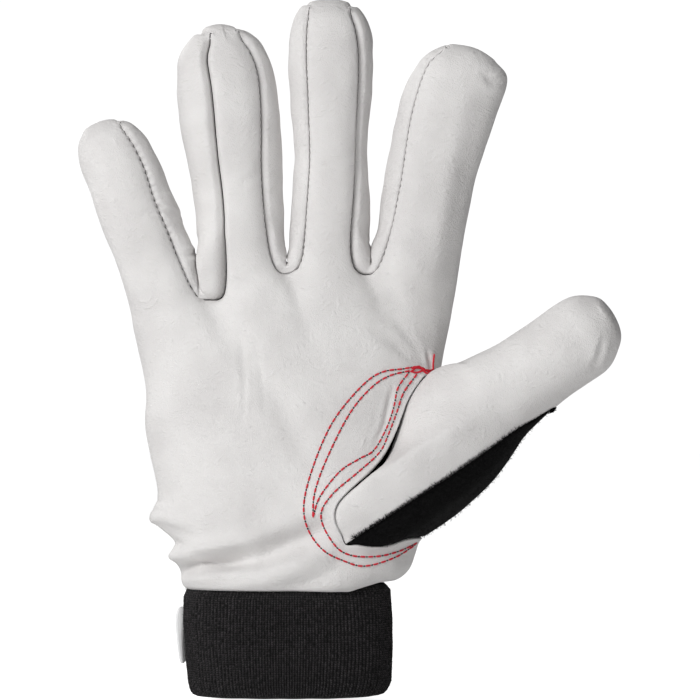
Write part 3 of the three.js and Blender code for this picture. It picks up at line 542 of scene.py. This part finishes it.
# Folds pressed into the palm, as lines of photograph pixels, each with its width and depth in mm
PALM_FOLDS = [
    ([(178, 573), (198, 562), (227, 559), (262, 552), (305, 536), (335, 520)], 4.0, 3.6),
    ([(184, 582), (215, 578), (260, 576)], 2.0, 0.4),
    ([(158, 574), (186, 566), (206, 561), (244, 555)], 2.4, 3.6),
    ([(176, 550), (205, 546), (240, 543), (270, 540)], 3.0, -0.9),
    ([(146, 499), (168, 501)], 0.7, 0.45),
    ([(144, 508), (166, 511)], 0.6, 0.4),
    ([(280, 592), (312, 578), (338, 566), (372, 572)], 3.8, 1.3),
    ([(217, 310), (245, 352), (280, 405), (309, 458)], 4.8, 0.9),
    ([(427, 352), (430, 362), (431, 370)], 0.8, 0.8),
    ([(372, 330), (398, 347), (424, 366)], 2.0, 0.45),
    ([(392, 318), (410, 340), (427, 366)], 1.6, 0.35),
    ([(162, 216), (150, 213), (140, 218)], 1.0, 0.3),
    ([(186, 262), (165, 268), (150, 266)], 0.9, 0.25),
    ([(214, 300), (232, 292), (262, 278)], 2.2, 0.4),
    ([(305, 172), (328, 166), (352, 158)], 1.1, 0.25),
    ([(315, 95), (330, 88), (345, 88)], 0.9, 0.18),
    ([(262, 176), (250, 180), (240, 186)], 1.2, 0.35),
    ([(484, 78), (492, 84), (503, 84)], 1.6, 0.9),
    ([(486, 84), (470, 140), (458, 210), (446, 300)], 3.4, 0.45),
    ([(151, 521), (170, 527), (190, 533)], 1.4, 0.5),
    ([(393, 385), (388, 405), (384, 424), (376, 441)], 1.0, 0.6),
    ([(240, 330), (246, 380), (243, 430)], 1.2, 0.18),
    ([(256, 335), (262, 375), (266, 420)], 1.0, 0.15),
]


def from_edge(piece, points):
    """How far each point lies from the sheet's open edge, in metres."""
    tree = tree_of(points[edge_points(piece)])
    return np.array([tree.find(point)[2] for point in points])


def sculpt(piece, own_node, folds, swell, nudges=(), **seam_settings):
    """Swells, folds, shifted places and seams, in that order. The swell's height is in mm."""
    points, normals = points_of(piece), normals_of(piece)
    front = np.clip((-normals[:, 1] + 0.15) / 0.5, 0, 1)
    inland = np.clip(from_edge(piece, points) / (4 * MM), 0, 1)
    shift = inland * (unevenness(points, 16, swell, 1) + unevenness(points, 6, swell * 0.35, 2))
    for line, width, depth in folds:
        shift += stroke(points, line, width, depth) * front * (0.25 + 0.75 * inland)
    points += normals * shift[:, None] * MM
    for place, way, reach in nudges:
        nudge(points, place, way, reach)
    set_points(piece, points)
    lay_seams(piece, own_node, **seam_settings)


# Places of the palm that stand out or lie further in than the plain form: pixels, shift, reach in mm
PALM_NUDGES = [
    ((500, 54), (-3, 4), 7), ((152, 519), (-2, 2), 2.2),
    ((169, 556), (-2.5, 0), 2.2), ((178, 542), (3, 0), 1.6),
]
sculpt(palm, "palm_leather", PALM_FOLDS, swell=0.30, nudges=PALM_NUDGES)
wall_inwards(palm, LEATHER_WALL)
palm.data.materials.append(palm_leather)
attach(palm, "root")
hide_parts("palm_leather")


# Red stitching: two rows of red lock stitch that hold the thumb to the palm, sewn through it from
# the front, with a bar tack at the top. A short black thread lies in each needle hole as painted shade of
# the hole.

# In mm: the thread's radius, one stitch with its needle hole, the red part of it, and the fine
# steps in which a row is followed
THREAD = 0.33
STITCH_PITCH = 2.8
STITCH_LENGTH = 2.0
FINE_STEP = 0.1
# The height of a stitch, of the painted hole shade in a needle hole and of the tack over the leather, in mm
STITCH_LIFTS = (-0.25, 0.05, 0.14, 0.17, 0.14, 0.05, -0.25)
HOLE_LIFTS = (-0.1, 0.06, 0.06, -0.1)
TACK_LIFT = 0.3
THREAD_RED = (0.80, 0.012, 0.035, 1)
# Black for the short threads of painted shade in the needle holes
HOLE_SHADE_BLACK = (0.02, 0.008, 0.012, 1)
# The rows as places of the photograph
RED_ROWS = {
    "outer": [(431.6, 372.9), (418.2, 367), (402.1, 368.8), (381.6, 372), (362.9, 384.5), (337.9, 413.5),
              (322.7, 441.6), (308.9, 480), (304.5, 506.8), (309.4, 528.2), (323.2, 546.5), (342.9, 557.2),
              (364.3, 563), (393.8, 555.4), (417, 542.5)],
    "second": [(409.3, 370.6), (390.5, 375.1), (375.4, 383.6), (359.3, 399.6), (346.8, 417.5),
               (334.3, 441.6), (321.8, 470), (314.7, 493.4), (313.4, 514.8)],
    "third": [(313.4, 514.8), (320.5, 494.3), (339.6, 470), (358.4, 457.7), (373.6, 448.8),
              (386.1, 427.3), (393.2, 406.8), (397.7, 387.1), (409.3, 371.1)],
    "inner": [(416.4, 373.8), (403, 392.5), (396.8, 410.4), (387.9, 433.6), (378.9, 451.4), (358.4, 470),
              (332.1, 492.5), (321.4, 513.9), (333.9, 540.7), (350, 551.9), (375.9, 553.7), (398.2, 549.2),
              (417, 541.6)],
}
# The tack's threads cross each other without a gap
TACK = [[(433.4, 354), (432.8, 362), (432.4, 370), (432, 375), (433.8, 377.5)],
        [(409, 371), (416, 372.5), (424, 370.5), (432, 373.5)],
        [(410, 368), (418, 368), (424, 370), (431, 371)],
        [(410, 372), (418, 366.5), (426, 373.5), (432, 369)]]


def run_of(line, step):
    """Points of a smooth line through photograph pixels, one every step mm: rows of x, z in mm."""
    knots = np.array([photo_place(*spot) for spot in line]) / MM
    ends = np.vstack([2 * knots[0] - knots[1], knots, 2 * knots[-1] - knots[-2]])
    t = np.linspace(0, 1, 24, endpoint=False)[:, None]
    parts = []
    for a, b, c, d in zip(ends, ends[1:], ends[2:], ends[3:]):
        parts.append(0.5 * (2 * b + (c - a) * t + (2 * a - 5 * b + 4 * c - d) * t ** 2
                            + (3 * b - a - 3 * c + d) * t ** 3))
    path = np.vstack(parts + [knots[-1:]])
    run = np.concatenate([[0], np.cumsum(np.linalg.norm(np.diff(path, axis=0), axis=1))])
    stops = np.arange(0, run[-1], step)
    return np.stack([np.interp(stops, run, path[:, k]) for k in (0, 1)], axis=1)


def thread_mesh(name, threads, thickness, sides=6):
    """One mesh of short threads, each a list of points in metres, thinner at both ends."""
    sheet = bmesh.new()
    for thread in threads:
        rings = []
        for k, point in enumerate(thread):
            along = (thread[min(k + 1, len(thread) - 1)] - thread[max(k - 1, 0)]).normalized()
            across = along.cross(Vector((0, 1, 0))).normalized()
            up = across.cross(along)
            end = k in (0, len(thread) - 1)
            radius = thickness * (0.35 if end else 1)
            rings.append([sheet.verts.new(point + (across * math.cos(a) + up * math.sin(a)) * radius)
                          for a in (2 * math.pi * side / sides for side in range(sides))])
        for low, high in zip(rings, rings[1:]):
            for side in range(sides):
                after = (side + 1) % sides
                sheet.faces.new((low[side], low[after], high[after], high[side]))
        sheet.faces.new(list(reversed(rings[0])))
        sheet.faces.new(rings[-1])
    bmesh.ops.recalc_face_normals(sheet, faces=sheet.faces)
    mesh = bpy.data.meshes.new(name)
    sheet.to_mesh(mesh)
    sheet.free()
    piece = bpy.data.objects.new(name, mesh)
    bpy.context.collection.objects.link(piece)
    use_only(piece)
    bpy.ops.object.shade_smooth()
    return piece


def on_front(tree, place, lift):
    """The point of a piece's front at x, z in mm, lifted towards the viewer by lift mm."""
    hit, normal, _, _ = tree.ray_cast(Vector((place[0], -90, place[1])) * MM, Vector((0, 1, 0)))
    return hit + normal * lift * MM if hit else None


# Where the stitches are pulled right into the leather (x and z ranges), and how deep, in mm
PULLED_IN = (30, 39.5, 88, 108)
PULL_DEPTH = 0.19

palm_front = tree_of_faces([palm.data])
red_threads, hole_shade_threads = [], []
for row in RED_ROWS.values():
    fine = run_of(row, FINE_STEP)
    per_stitch = round(STITCH_PITCH / FINE_STEP)
    for start in range(0, len(fine) - per_stitch // 2, per_stitch):
        stop = min(start + round(STITCH_LENGTH / FINE_STEP), len(fine) - 1)
        spots = np.linspace(start, stop, len(STITCH_LIFTS)).astype(int)
        lifts = np.array(STITCH_LIFTS)
        if PULLED_IN[0] < fine[start][0] < PULLED_IN[1] and PULLED_IN[2] < fine[start][1] < PULLED_IN[3]:
            lifts -= PULL_DEPTH
        stitch = [on_front(palm_front, fine[i], lift) for i, lift in zip(spots, lifts)]
        if all(stitch):
            red_threads.append(stitch)
        # A short dark thread in the needle hole after each stitch, as painted shade of the hole
        spots = np.linspace(stop, min(start + per_stitch, len(fine) - 1), len(HOLE_LIFTS)).astype(int)
        hole = [on_front(palm_front, fine[i], lift) for i, lift in zip(spots, HOLE_LIFTS)]
        if all(hole) and spots[-1] > spots[0] + 2:
            hole_shade_threads.append(hole)
for line in TACK:
    tack = [on_front(palm_front, spot, TACK_LIFT) for spot in run_of(line, 4 * FINE_STEP)]
    red_threads.append([spot for spot in tack if spot])


def thread_finish(name, colour, roughness):
    """Twisted polyester thread: fine slanting ridges over one dyed colour, with painted shade in the grooves
    between them.
    """
    material, tree = plain_finish(name, roughness, 0.5)
    place = add_node(tree, "ShaderNodeTexCoord")
    ply = add_node(tree, "ShaderNodeTexWave", bands_direction="DIAGONAL", values={"Scale": 900.0},
                   links={"Vector": place.outputs["Object"]})
    # Painted shade: seven tenths of the colour in the grooves between the ridges
    dark = tuple(c * 0.7 for c in colour[:3]) + (1,)
    paint(tree, dark, colour, ply.outputs["Fac"], ply.outputs["Fac"], strength=0.6, distance=0.1 * MM)
    return material


red_stitching = thread_mesh("red_stitching", red_threads, THREAD * MM)
red_stitching.data.materials.append(thread_finish("red_thread", THREAD_RED, 0.6))
needle_holes = thread_mesh("needle_hole_shade", hole_shade_threads, THREAD * 0.85 * MM)
needle_holes.data.materials.append(thread_finish("painted_hole_shade", HOLE_SHADE_BLACK, 0.7))
for piece in (red_stitching, needle_holes):
    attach(piece, "root")


# Side strips: three narrow pieces of the same leather between the fingers, each running down one
# finger, round the crotch and up the next. They stand up as soft rolls beside their seams.

# How far the strips stand up, in mm, and the share of the way to the middle line that they lean
STRIP_PUFF = 0.15
STRIP_LEAN = 0.85
STRIP_FOLDS = [
    ([(160, 206), (170, 214), (180, 216)], 0.9, 0.7),
    ([(174, 258), (184, 256), (194, 252)], 1.0, 0.6),
    ([(196, 240), (200, 258), (205, 274), (209, 289)], 1.3, 1.8),
    ([(285, 246), (286, 256), (287, 264)], 0.8, 1.2),
    ([(373, 236), (371, 252), (370, 263)], 0.9, 1.4),
]

# Between two fingers the strips lean together until they close: middle line (x), the height
# where they start to and the height where they touch (y), in photograph pixels.
CLOSINGS = {"fourchette_little_ring": (196.0, 222, 262), "fourchette_ring_middle": (287.3, 215, 268),
            "fourchette_middle_index": (371.0, 222, 262)}


def strip_seam(own_node, point, partner):
    """A strip meets the palm on its front edges and the back on its back edges."""
    return seam_at(point, own_node) if partner and partner.startswith("palm") else "back"


for node_name, (middle, start, touch) in CLOSINGS.items():
    strip = outer_skin(node_name, node_name.replace("fourchette", "side_strip"))
    smooth_through(strip, node_name, levels=4)
    points, normals = points_of(strip), normals_of(strip)
    far = from_edge(strip, points) / MM
    shift = STRIP_PUFF * (1 - np.exp(-far / 2.2)) * calm_at(points, 7)
    line_x, start_z = photo_place(middle, start)
    touch_z = photo_place(middle, touch)[1]
    closed = eased((start_z - points[:, 2]) / (start_z - touch_z)) * (1 - np.exp(-far / 2.0))
    lean = (line_x - points[:, 0]) * STRIP_LEAN * closed
    for line, width, depth in STRIP_FOLDS:
        shift += stroke(points, line, width, depth)
    shift += np.clip(far / 3, 0, 1) * unevenness(points, 7, 0.35, 5)
    points += normals * shift[:, None] * MM
    points[:, 0] += lean
    set_points(strip, points)
    lay_seams(strip, node_name, seam_of=partial(strip_seam, node_name))
    wall_inwards(strip, LEATHER_WALL)
    strip.data.materials.append(palm_leather)
    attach(strip, "root")
    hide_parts(node_name)


# Thumb front: one piece of the same leather from the thumb's foot over its tip. Its edge lies
# under the palm's edge, so it starts a little deeper there.

THUMB_FOLDS = [
    ([(415, 392), (404, 425), (392, 462), (372, 492)], 4.0, 0.6),
    ([(440, 388), (436, 420), (420, 455)], 4.0, 0.3),
    ([(600, 338), (597, 352), (590, 368)], 1.3, 0.5),
    ([(560, 318), (575, 340), (580, 365)], 4.0, 0.3),
]
THUMB_TIP = (624, 342)
THUMB_NUDGES = [((628, 345), (-5, -1), 9)]
thumb = outer_skin("thumb_leather", "thumb")
smooth_through(thumb, "thumb_leather", levels=3)
refine_edge(thumb)

# The thumb's edge lies under the palm's, deepest at one place of its foot. Depth and reach in mm.
THUMB_SEAMS = dict(SEAMS, under=(1.9, 1.8, 3.0, 0.3, 0.0, 0.0), fleece=(1.0, 0.5, 2.0, 0.1, 0.2, 0.0))
DEEPEST = (377, 452)
EXTRA_DEPTH = 4.0
EXTRA_REACH = 14


def thumb_seam(point, partner):
    """The thumb's leather meets the fleece on its back and lies under the palm elsewhere."""
    return "fleece" if partner == "thumb_back_fabric" else "under"


def deeper_under_palm(points):
    """More depth, in mm, round the deepest place of the palm's edge."""
    return EXTRA_DEPTH * np.exp(-(far_from(points, DEEPEST) / EXTRA_REACH) ** 2)


def round_off(piece, place, reach, passes):
    """Evens the sheet out within reach mm of a place of the photograph, most at the place itself."""
    points = points_of(piece)
    ends = np.array([edge.vertices[:] for edge in piece.data.edges])
    share = np.clip(1.3 - 1.3 * far_from(points, place) / reach, 0, 1)[:, None]
    share[edge_points(piece)] = 0
    count = np.bincount(ends.ravel(), minlength=len(points))[:, None]
    for _ in range(passes):
        total = np.zeros_like(points)
        np.add.at(total, ends[:, 0], points[ends[:, 1]])
        np.add.at(total, ends[:, 1], points[ends[:, 0]])
        points += share * (total / count - points)
    set_points(piece, points)


round_off(thumb, THUMB_TIP, reach=13, passes=90)
sculpt(thumb, "thumb_leather", THUMB_FOLDS, swell=0.28, nudges=THUMB_NUDGES, seams=THUMB_SEAMS,
       seam_of=thumb_seam, deepen=deeper_under_palm)
wall_inwards(thumb, LEATHER_WALL)
thumb.data.materials.append(palm_leather)
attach(thumb, "root")
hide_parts("thumb_leather")


# Back: one piece of black jersey knit over the back of the hand and the four fingers. It is sewn to
# the palm and to the side strips all round its edge.

FABRIC_WALL = 1.5 * MM
# The jersey's black, and the grey of its painted highlight on the loop crests in random flecks
JERSEY_BLACK = (0.012, 0.011, 0.012, 1)
JERSEY_GREY = (0.045, 0.042, 0.045, 1)


def knit_loops():
    """Rows of small V-shaped loops: Height in metres and Tone from 0 to 1, the tone a painted highlight on
    the loops' crests in random flecks.
    """
    group, given, out = node_group(
        "knit_loops",
        [("Vector", "NodeSocketVector", None), ("Wales", "NodeSocketFloat", 900.0),
         ("Courses", "NodeSocketFloat", 1100.0), ("Relief", "NodeSocketFloat", 0.0001)],
        [("Height", "NodeSocketFloat"), ("Tone", "NodeSocketFloat")])
    split = add_node(group, "ShaderNodeSeparateXYZ", links={"Vector": given.outputs["Vector"]})
    wale = reckon(group, "MULTIPLY", split.outputs["X"], given.outputs["Wales"])
    share = reckon(group, "PINGPONG", wale, 0.5)
    place = add_node(group, "ShaderNodeTexCoord")
    flecks = add_node(group, "ShaderNodeTexNoise", values={"Scale": 1100.0, "Detail": 3.0, "Roughness": 0.7},
                      links={"Vector": place.outputs["Object"]})
    stray = reckon(group, "MULTIPLY_ADD", flecks.outputs["Fac"], 2.2, share)
    course = reckon(group, "MULTIPLY_ADD", split.outputs["Z"], given.outputs["Courses"], stray)
    loop = reckon(group, "SINE", reckon(group, "MULTIPLY", course, 2 * math.pi))
    level = add_node(group, "ShaderNodeMapRange", values={"From Min": -1.0}, links={"Value": loop})
    dip = add_node(group, "ShaderNodeMapRange", interpolation_type="SMOOTHSTEP", values={"From Max": 0.22},
                   links={"Value": share})
    both = reckon(group, "MULTIPLY", level.outputs["Result"], dip.outputs["Result"])
    flecked = add_node(group, "ShaderNodeMapRange", values={"From Min": 0.38, "From Max": 0.7},
                       links={"Value": flecks.outputs["Fac"]})
    # Painted highlight: the tone is lighter on the loops' crests, where random flecks let it show
    fleck_and_crest_light = reckon(group, "MULTIPLY", both, flecked.outputs["Result"])
    height = reckon(group, "MULTIPLY", both, given.outputs["Relief"])
    group.links.new(height, out.inputs["Height"])
    group.links.new(reckon(group, "MULTIPLY", fleck_and_crest_light, 1.6), out.inputs["Tone"])
    return group


LOOPS = knit_loops()


def knit(name, dark, light, wales, courses, relief, roughness, vector="Object"):
    """Knit fabric: loops in one unit of the vector each way, and their height in metres. The
    vector is the object's own place or the attribute of that name."""
    material, tree = plain_finish(name, roughness, 0.2)
    if vector == "Object":
        place = add_node(tree, "ShaderNodeTexCoord").outputs["Object"]
    else:
        place = add_node(tree, "ShaderNodeAttribute", attribute_name=vector).outputs["Vector"]
    loops = add_node(tree, "ShaderNodeGroup", node_tree=LOOPS,
                     values={"Wales": wales, "Courses": courses, "Relief": relief},
                     links={"Vector": place})
    paint(tree, dark, light, loops.outputs["Tone"], loops.outputs["Height"])
    return material


back = outer_skin("back_fabric", "back")
smooth_through(back, "back_fabric", levels=3)
# Its index fingertip follows the palm's
sculpt(back, "back_fabric", [], swell=0.35, nudges=PALM_NUDGES[:1])
wall_inwards(back, FABRIC_WALL)
back.data.materials.append(knit("black_jersey", JERSEY_BLACK, JERSEY_GREY, wales=950.0, courses=1150.0,
                                relief=0.00012, roughness=0.85))
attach(back, "root")
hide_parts("back_fabric")


# Thumb back: one piece of black brushed fleece on the thumb's lower side and back. It is sewn to the
# thumb's leather along its edge, and its short nap lies over that seam.

# The fleece's black, and the grey of its painted highlight on the highest fibre clumps
FLEECE_BLACK = (0.0012, 0.0012, 0.0012, 1)
FLEECE_GREY = (0.013, 0.0125, 0.013, 1)
thumb_back = outer_skin("thumb_back_fabric", "thumb_back")
smooth_through(thumb_back, "thumb_back_fabric", levels=4)
sculpt(thumb_back, "thumb_back_fabric", [], swell=0.3, seams=THUMB_SEAMS,
       seam_of=lambda point, partner: "fleece" if partner == "thumb_leather" else "under")
# The sheet's own edge, kept for the nap
outline = thumb_back.copy()
outline.data = thumb_back.data.copy()
bpy.context.collection.objects.link(outline)
wall_inwards(thumb_back, FABRIC_WALL)


def brushed(name, dark, light):
    """Brushed fleece: tangled fibre ends in clumps with a painted highlight where they stand highest, and a
    soft sheen at grazing angles.
    """
    material, tree = plain_finish(name, 0.95, 0.08)
    place = add_node(tree, "ShaderNodeTexCoord").outputs["Object"]
    clumps = add_node(tree, "ShaderNodeTexNoise", values={"Scale": 900.0, "Detail": 4.0, "Roughness": 0.75},
                      links={"Vector": place})
    ends = add_node(tree, "ShaderNodeTexNoise", values={"Scale": 3200.0, "Detail": 2.0},
                    links={"Vector": place})
    share = reckon(tree, "MULTIPLY", clumps.outputs["Fac"], ends.outputs["Fac"])
    # Painted highlight: the tone follows the height, lighter where the fibre clumps stand highest
    tone = add_node(tree, "ShaderNodeMapRange", values={"From Min": 0.18, "From Max": 0.48},
                    links={"Value": share})
    paint(tree, dark, light, tone.outputs["Result"], share, distance=0.6 * MM)
    tree.nodes["Principled BSDF"].inputs["Sheen Weight"].default_value = 0.02
    return material


black_fleece = brushed("black_fleece", FLEECE_BLACK, FLEECE_GREY)
thumb_back.data.materials.append(black_fleece)
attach(thumb_back, "root")
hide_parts("thumb_back_fabric")


# Fleece nap: loose fibre ends of the same black fleece, standing up all over it and thickest
# along its edge, where they lie over the white leather.

NAP_FIBRES = 2600
NAP_LENGTH = 0.9 * MM
NAP_RADIUS = 0.08 * MM
EDGE_FIBRES = 9
EDGE_LENGTH = 1.5 * MM
random.seed(7)


def random_way():
    return Vector([random.gauss(0, 1) for _ in range(3)]).normalized()


def fibre(spot, way, length):
    """A short bent fibre in metres."""
    way = way.normalized()
    bend = random_way() * 0.4
    return [spot + (way * share + bend * share * share) * length for share in (-0.15, 0.3, 0.65, 1)]


def nap_over(mesh, count, length, lean, level_limit=math.inf):
    """Fibres, as lists of points, that start at random places on a mesh's outside, but not on
    faces that look up or down by more than level_limit."""
    shell = tree_of_faces([mesh])
    faces = [f for f in mesh.polygons
             if looks_out(shell, f.center, f.normal) and abs(f.normal.z) < level_limit]
    found = []
    for face in random.choices(faces, weights=[f.area for f in faces], k=count):
        corners = [mesh.vertices[i].co for i in face.vertices]
        shares = [random.random() for _ in corners]
        spot = sum((c * share for c, share in zip(corners, shares)), Vector()) / sum(shares)
        found.append(fibre(spot, face.normal + random_way() * lean, length * random.uniform(0.5, 1.2)))
    return found


nap = nap_over(thumb_back.data, NAP_FIBRES, NAP_LENGTH, lean=0.8)
rim = edge_points(outline)
for i, way in zip(rim, rim_outwards(outline, rim)):
    spot = outline.data.vertices[i].co
    if [item[1] for item in neighbours_at(spot, "thumb_back_fabric", PARTNER_REACH)] == ["thumb_leather"]:
        for _ in range(EDGE_FIBRES):
            side = outline.data.vertices[i].normal
            start = spot + (side * 0.5 - Vector(way) * random.uniform(0, 1.0) + random_way() * 0.3) * MM
            nap.append(fibre(start, Vector(way) + side * 0.5 + random_way() * 0.5, EDGE_LENGTH))
bpy.data.objects.remove(outline)
fleece_nap = thread_mesh("fleece_nap", nap, NAP_RADIUS, sides=3)
fleece_nap.data.materials.append(black_fleece)
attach(fleece_nap, "root")


# Cuff: a black rib-knit tube of two layers, folded at its lower edge and sewn in under the hems of
# the palm and the back. Its ribs run up the wrist, and short fuzz stands on it.

CUFF_RIBS = 158
POINTS_PER_RIB = 6
RIB_HEIGHT = 0.22
CUFF_ROW = 1.4 * MM
CUFF_WALL = 2.2 * MM
# Rays start this far from the cuff's middle and end before they reach its far wall
RAY_START = 80 * MM
RAY_LENGTH = 75 * MM
# How far the top row goes up under the hem, and inwards there
UNDER_HEM = 0.6 * MM
HEM_INWARDS = 2.0 * MM
# The CAD cuff is felt at every fourth point round it
COLUMN_STEP = 4
# The rib knit's black, and the grey of its painted highlight on the loop crests in random flecks
RIB_BLACK = (0.002, 0.002, 0.002, 1)
RIB_GREY = (0.055, 0.05, 0.053, 1)
FUZZ_FIBRES = 2500
FUZZ_LENGTH = 0.7 * MM
FUZZ_RADIUS = 0.05 * MM
cuff_low, cuff_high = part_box("knit_cuff")
cuff_mid = (cuff_low + cuff_high) / 2
cuff_tree = tree_of_faces([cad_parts["knit_cuff"].data])
count = CUFF_RIBS * POINTS_PER_RIB
rows = round((cuff_high.z - cuff_low.z) / CUFF_ROW)

# A flat sheet of one column for each point round the cuff, to be rolled into a tube
bpy.ops.object.select_all(action="DESELECT")
bpy.ops.mesh.primitive_grid_add(x_subdivisions=count, y_subdivisions=rows, size=1)
cuff = bpy.context.object
cuff.name = "wrist_cuff"
points = points_of(cuff)
turns = np.rint((points[:, 0] + 0.5) * count).astype(int) % count
levels = np.rint((points[:, 1] + 0.5) * rows).astype(int)
heights = np.arange(rows + 1) / rows


def cuff_surface(angle, share):
    """Outer surface of the CAD cuff at an angle round it and a share of its height there."""
    way = Vector((math.cos(angle), math.sin(angle), 0))

    def hit_at(z):
        start = Vector((cuff_mid.x, cuff_mid.y, z)) + way * RAY_START
        return cuff_tree.ray_cast(start, -way, RAY_LENGTH)[0]

    tops = (cuff_high.z - step * 0.4 * MM for step in range(30))
    top = next(z for z in tops if hit_at(z - 0.3 * MM))
    z = cuff_low.z + share * (top - cuff_low.z - 0.4 * MM)
    spot = hit_at(max(z, cuff_low.z + 0.4 * MM))
    spot.z = z
    return spot


columns = {}
for column in range(0, count, COLUMN_STEP):
    angle = 2 * math.pi * column / count
    columns[column] = [cuff_surface(angle, share) for share in heights]
    last = columns[column][-1] - Vector((math.cos(angle), math.sin(angle), 0)) * HEM_INWARDS
    columns[column][-1] = Vector((last.x, last.y, cuff_high.z + UNDER_HEM))
columns[count] = columns[0]
for i, (turn, level) in enumerate(zip(turns, levels)):
    left = turn // COLUMN_STEP * COLUMN_STEP
    share = (turn - left) / COLUMN_STEP
    points[i] = columns[left][level].lerp(columns[left + COLUMN_STEP][level], share)
set_points(cuff, points)
use_only(cuff)
bpy.ops.object.mode_set(mode="EDIT")
bpy.ops.mesh.select_all(action="SELECT")
bpy.ops.mesh.remove_doubles(threshold=SAME_PLACE)
bpy.ops.mesh.normals_make_consistent(inside=False)
bpy.ops.object.mode_set(mode="OBJECT")
flat_tree = tree_of(points)
points, normals = points_of(cuff), normals_of(cuff)
found = [flat_tree.find(point)[1] for point in points]
angles, levels = turns[found] / count * 2 * math.pi, levels[found]
rib = np.cos(angles * CUFF_RIBS)
edge = 1 - np.exp(-np.minimum(levels, rows - levels) * 1.2)
fold = np.exp(-levels * 0.9) * 1.6
shift = RIB_HEIGHT * rib * edge + unevenness(points, 9, 0.35, 9) - fold
set_points(cuff, points + normals * shift[:, None] * MM)
# The knit's own place: ribs round the cuff, and metres up it
place = cuff.data.attributes.new("knit_place", "FLOAT_VECTOR", "POINT")
around = (angles - math.pi / 2) % (2 * math.pi) / (2 * math.pi) * CUFF_RIBS
place.data.foreach_set("vector", np.stack([around, 0 * around, points[:, 2]], axis=1).ravel())
# The outer sheet alone, so that the fuzz stands in the same places each time
cuff_sheet = cuff.data.copy()
wall_inwards(cuff, CUFF_WALL)
ribbed = knit("black_rib_knit", RIB_BLACK, RIB_GREY, wales=1.0, courses=1250.0, relief=0.00010,
              roughness=0.9, vector="knit_place")
ribbed.node_tree.nodes["Principled BSDF"].inputs["Sheen Weight"].default_value = 0.04
cuff.data.materials.append(ribbed)
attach(cuff, "root")
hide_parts("knit_cuff")

fuzz = nap_over(cuff_sheet, FUZZ_FIBRES, FUZZ_LENGTH, lean=0.7, level_limit=0.8)
bpy.data.meshes.remove(cuff_sheet)
cuff_fuzz = thread_mesh("cuff_fuzz", fuzz, FUZZ_RADIUS, sides=3)
cuff_fuzz.data.materials.append(ribbed)
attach(cuff_fuzz, "root")


# Tab: a small flap of plain white leather, sewn to the back of the cuff. Its end stands out past
# the cuff's side.

TAB_WHITE = (0.93, 0.93, 0.93, 1)
TAB_SHADE = (0.88, 0.88, 0.88, 1)
tab = outer_skin("cuff_tab", "cuff_side_tab")
smooth_through(tab, "cuff_tab", levels=3)
wall_inwards(tab, LEATHER_WALL)
tab.data.materials.append(leather("tab_smooth_leather", TAB_WHITE, TAB_SHADE, pebbles=1400.0,
                                  relief=0.00001, wrinkle=0.00002, roughness=0.5))
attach(tab, "root")
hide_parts("cuff_tab")


# Studio: white all round and a pale floor just under the cuff. One large soft light stands in front
# on the left, a weak one in the middle and one behind on the left.

PALE = (0.9, 0.9, 0.9, 1)
WHITE = (1, 1, 1, 1)
# Name, place and size in metres, and watts
LAMPS = [("key", (-0.85, -1.05, 0.9), 0.6, 15.5), ("fill", (0.1, -1.4, 0.4), 0.8, 1.8),
         ("back_left", (-0.8, 0.9, 0.8), 0.6, 5)]
bpy.ops.object.select_all(action="DESELECT")
bpy.ops.mesh.primitive_circle_add(vertices=64, radius=4, fill_type="NGON", location=(0, 0, -1.5 * MM))
floor = bpy.context.object
floor.name = "floor"
pale = bpy.data.materials.new("pale_floor")
pale.use_nodes = True
shader = pale.node_tree.nodes["Principled BSDF"]
shader.inputs["Base Color"].default_value = PALE
shader.inputs["Emission Color"].default_value = WHITE
# It glows for the camera, and hardly for the glove
seen = add_node(pale.node_tree, "ShaderNodeLightPath")
glow = add_node(pale.node_tree, "ShaderNodeMapRange", values={"To Min": 0.12, "To Max": 0.85},
                links={"Value": seen.outputs["Is Camera Ray"]})
pale.node_tree.links.new(glow.outputs["Result"], shader.inputs["Emission Strength"])
floor.data.materials.append(pale)

world = bpy.data.worlds.new("studio")
bpy.context.scene.world = world
world.use_nodes = True
sky = world.node_tree
light_path = add_node(sky, "ShaderNodeLightPath")
strength = add_node(sky, "ShaderNodeMapRange", values={"To Min": 0.17, "To Max": 1.05},
                    links={"Value": light_path.outputs["Is Camera Ray"]})
sky.nodes["Background"].inputs["Color"].default_value = WHITE
sky.links.new(strength.outputs["Result"], sky.nodes["Background"].inputs["Strength"])

aim = Vector((10, 0, 125)) * MM
for name, place, size, watts in LAMPS:
    bpy.ops.object.light_add(type="AREA", location=place)
    lamp = bpy.context.object
    lamp.name = name
    lamp.data.size = size
    lamp.data.energy = watts
    lamp.rotation_mode = "QUATERNION"
    lamp.rotation_quaternion = (aim - lamp.location).to_track_quat("-Z", "Y")

# The camera stands far off in front and frames what the photograph frames
CAMERA_FAR = 1.6
PHOTO_WIDTH = 700 * PHOTO_SCALE
centre_x, centre_z = photo_place(350, 350)
bpy.ops.object.camera_add(location=(centre_x, -CAMERA_FAR, centre_z), rotation=(math.pi / 2, 0, 0))
camera = bpy.context.object
camera.data.lens = camera.data.sensor_width * CAMERA_FAR / PHOTO_WIDTH
bpy.context.scene.camera = camera
bpy.context.scene.view_settings.view_transform = "Standard"
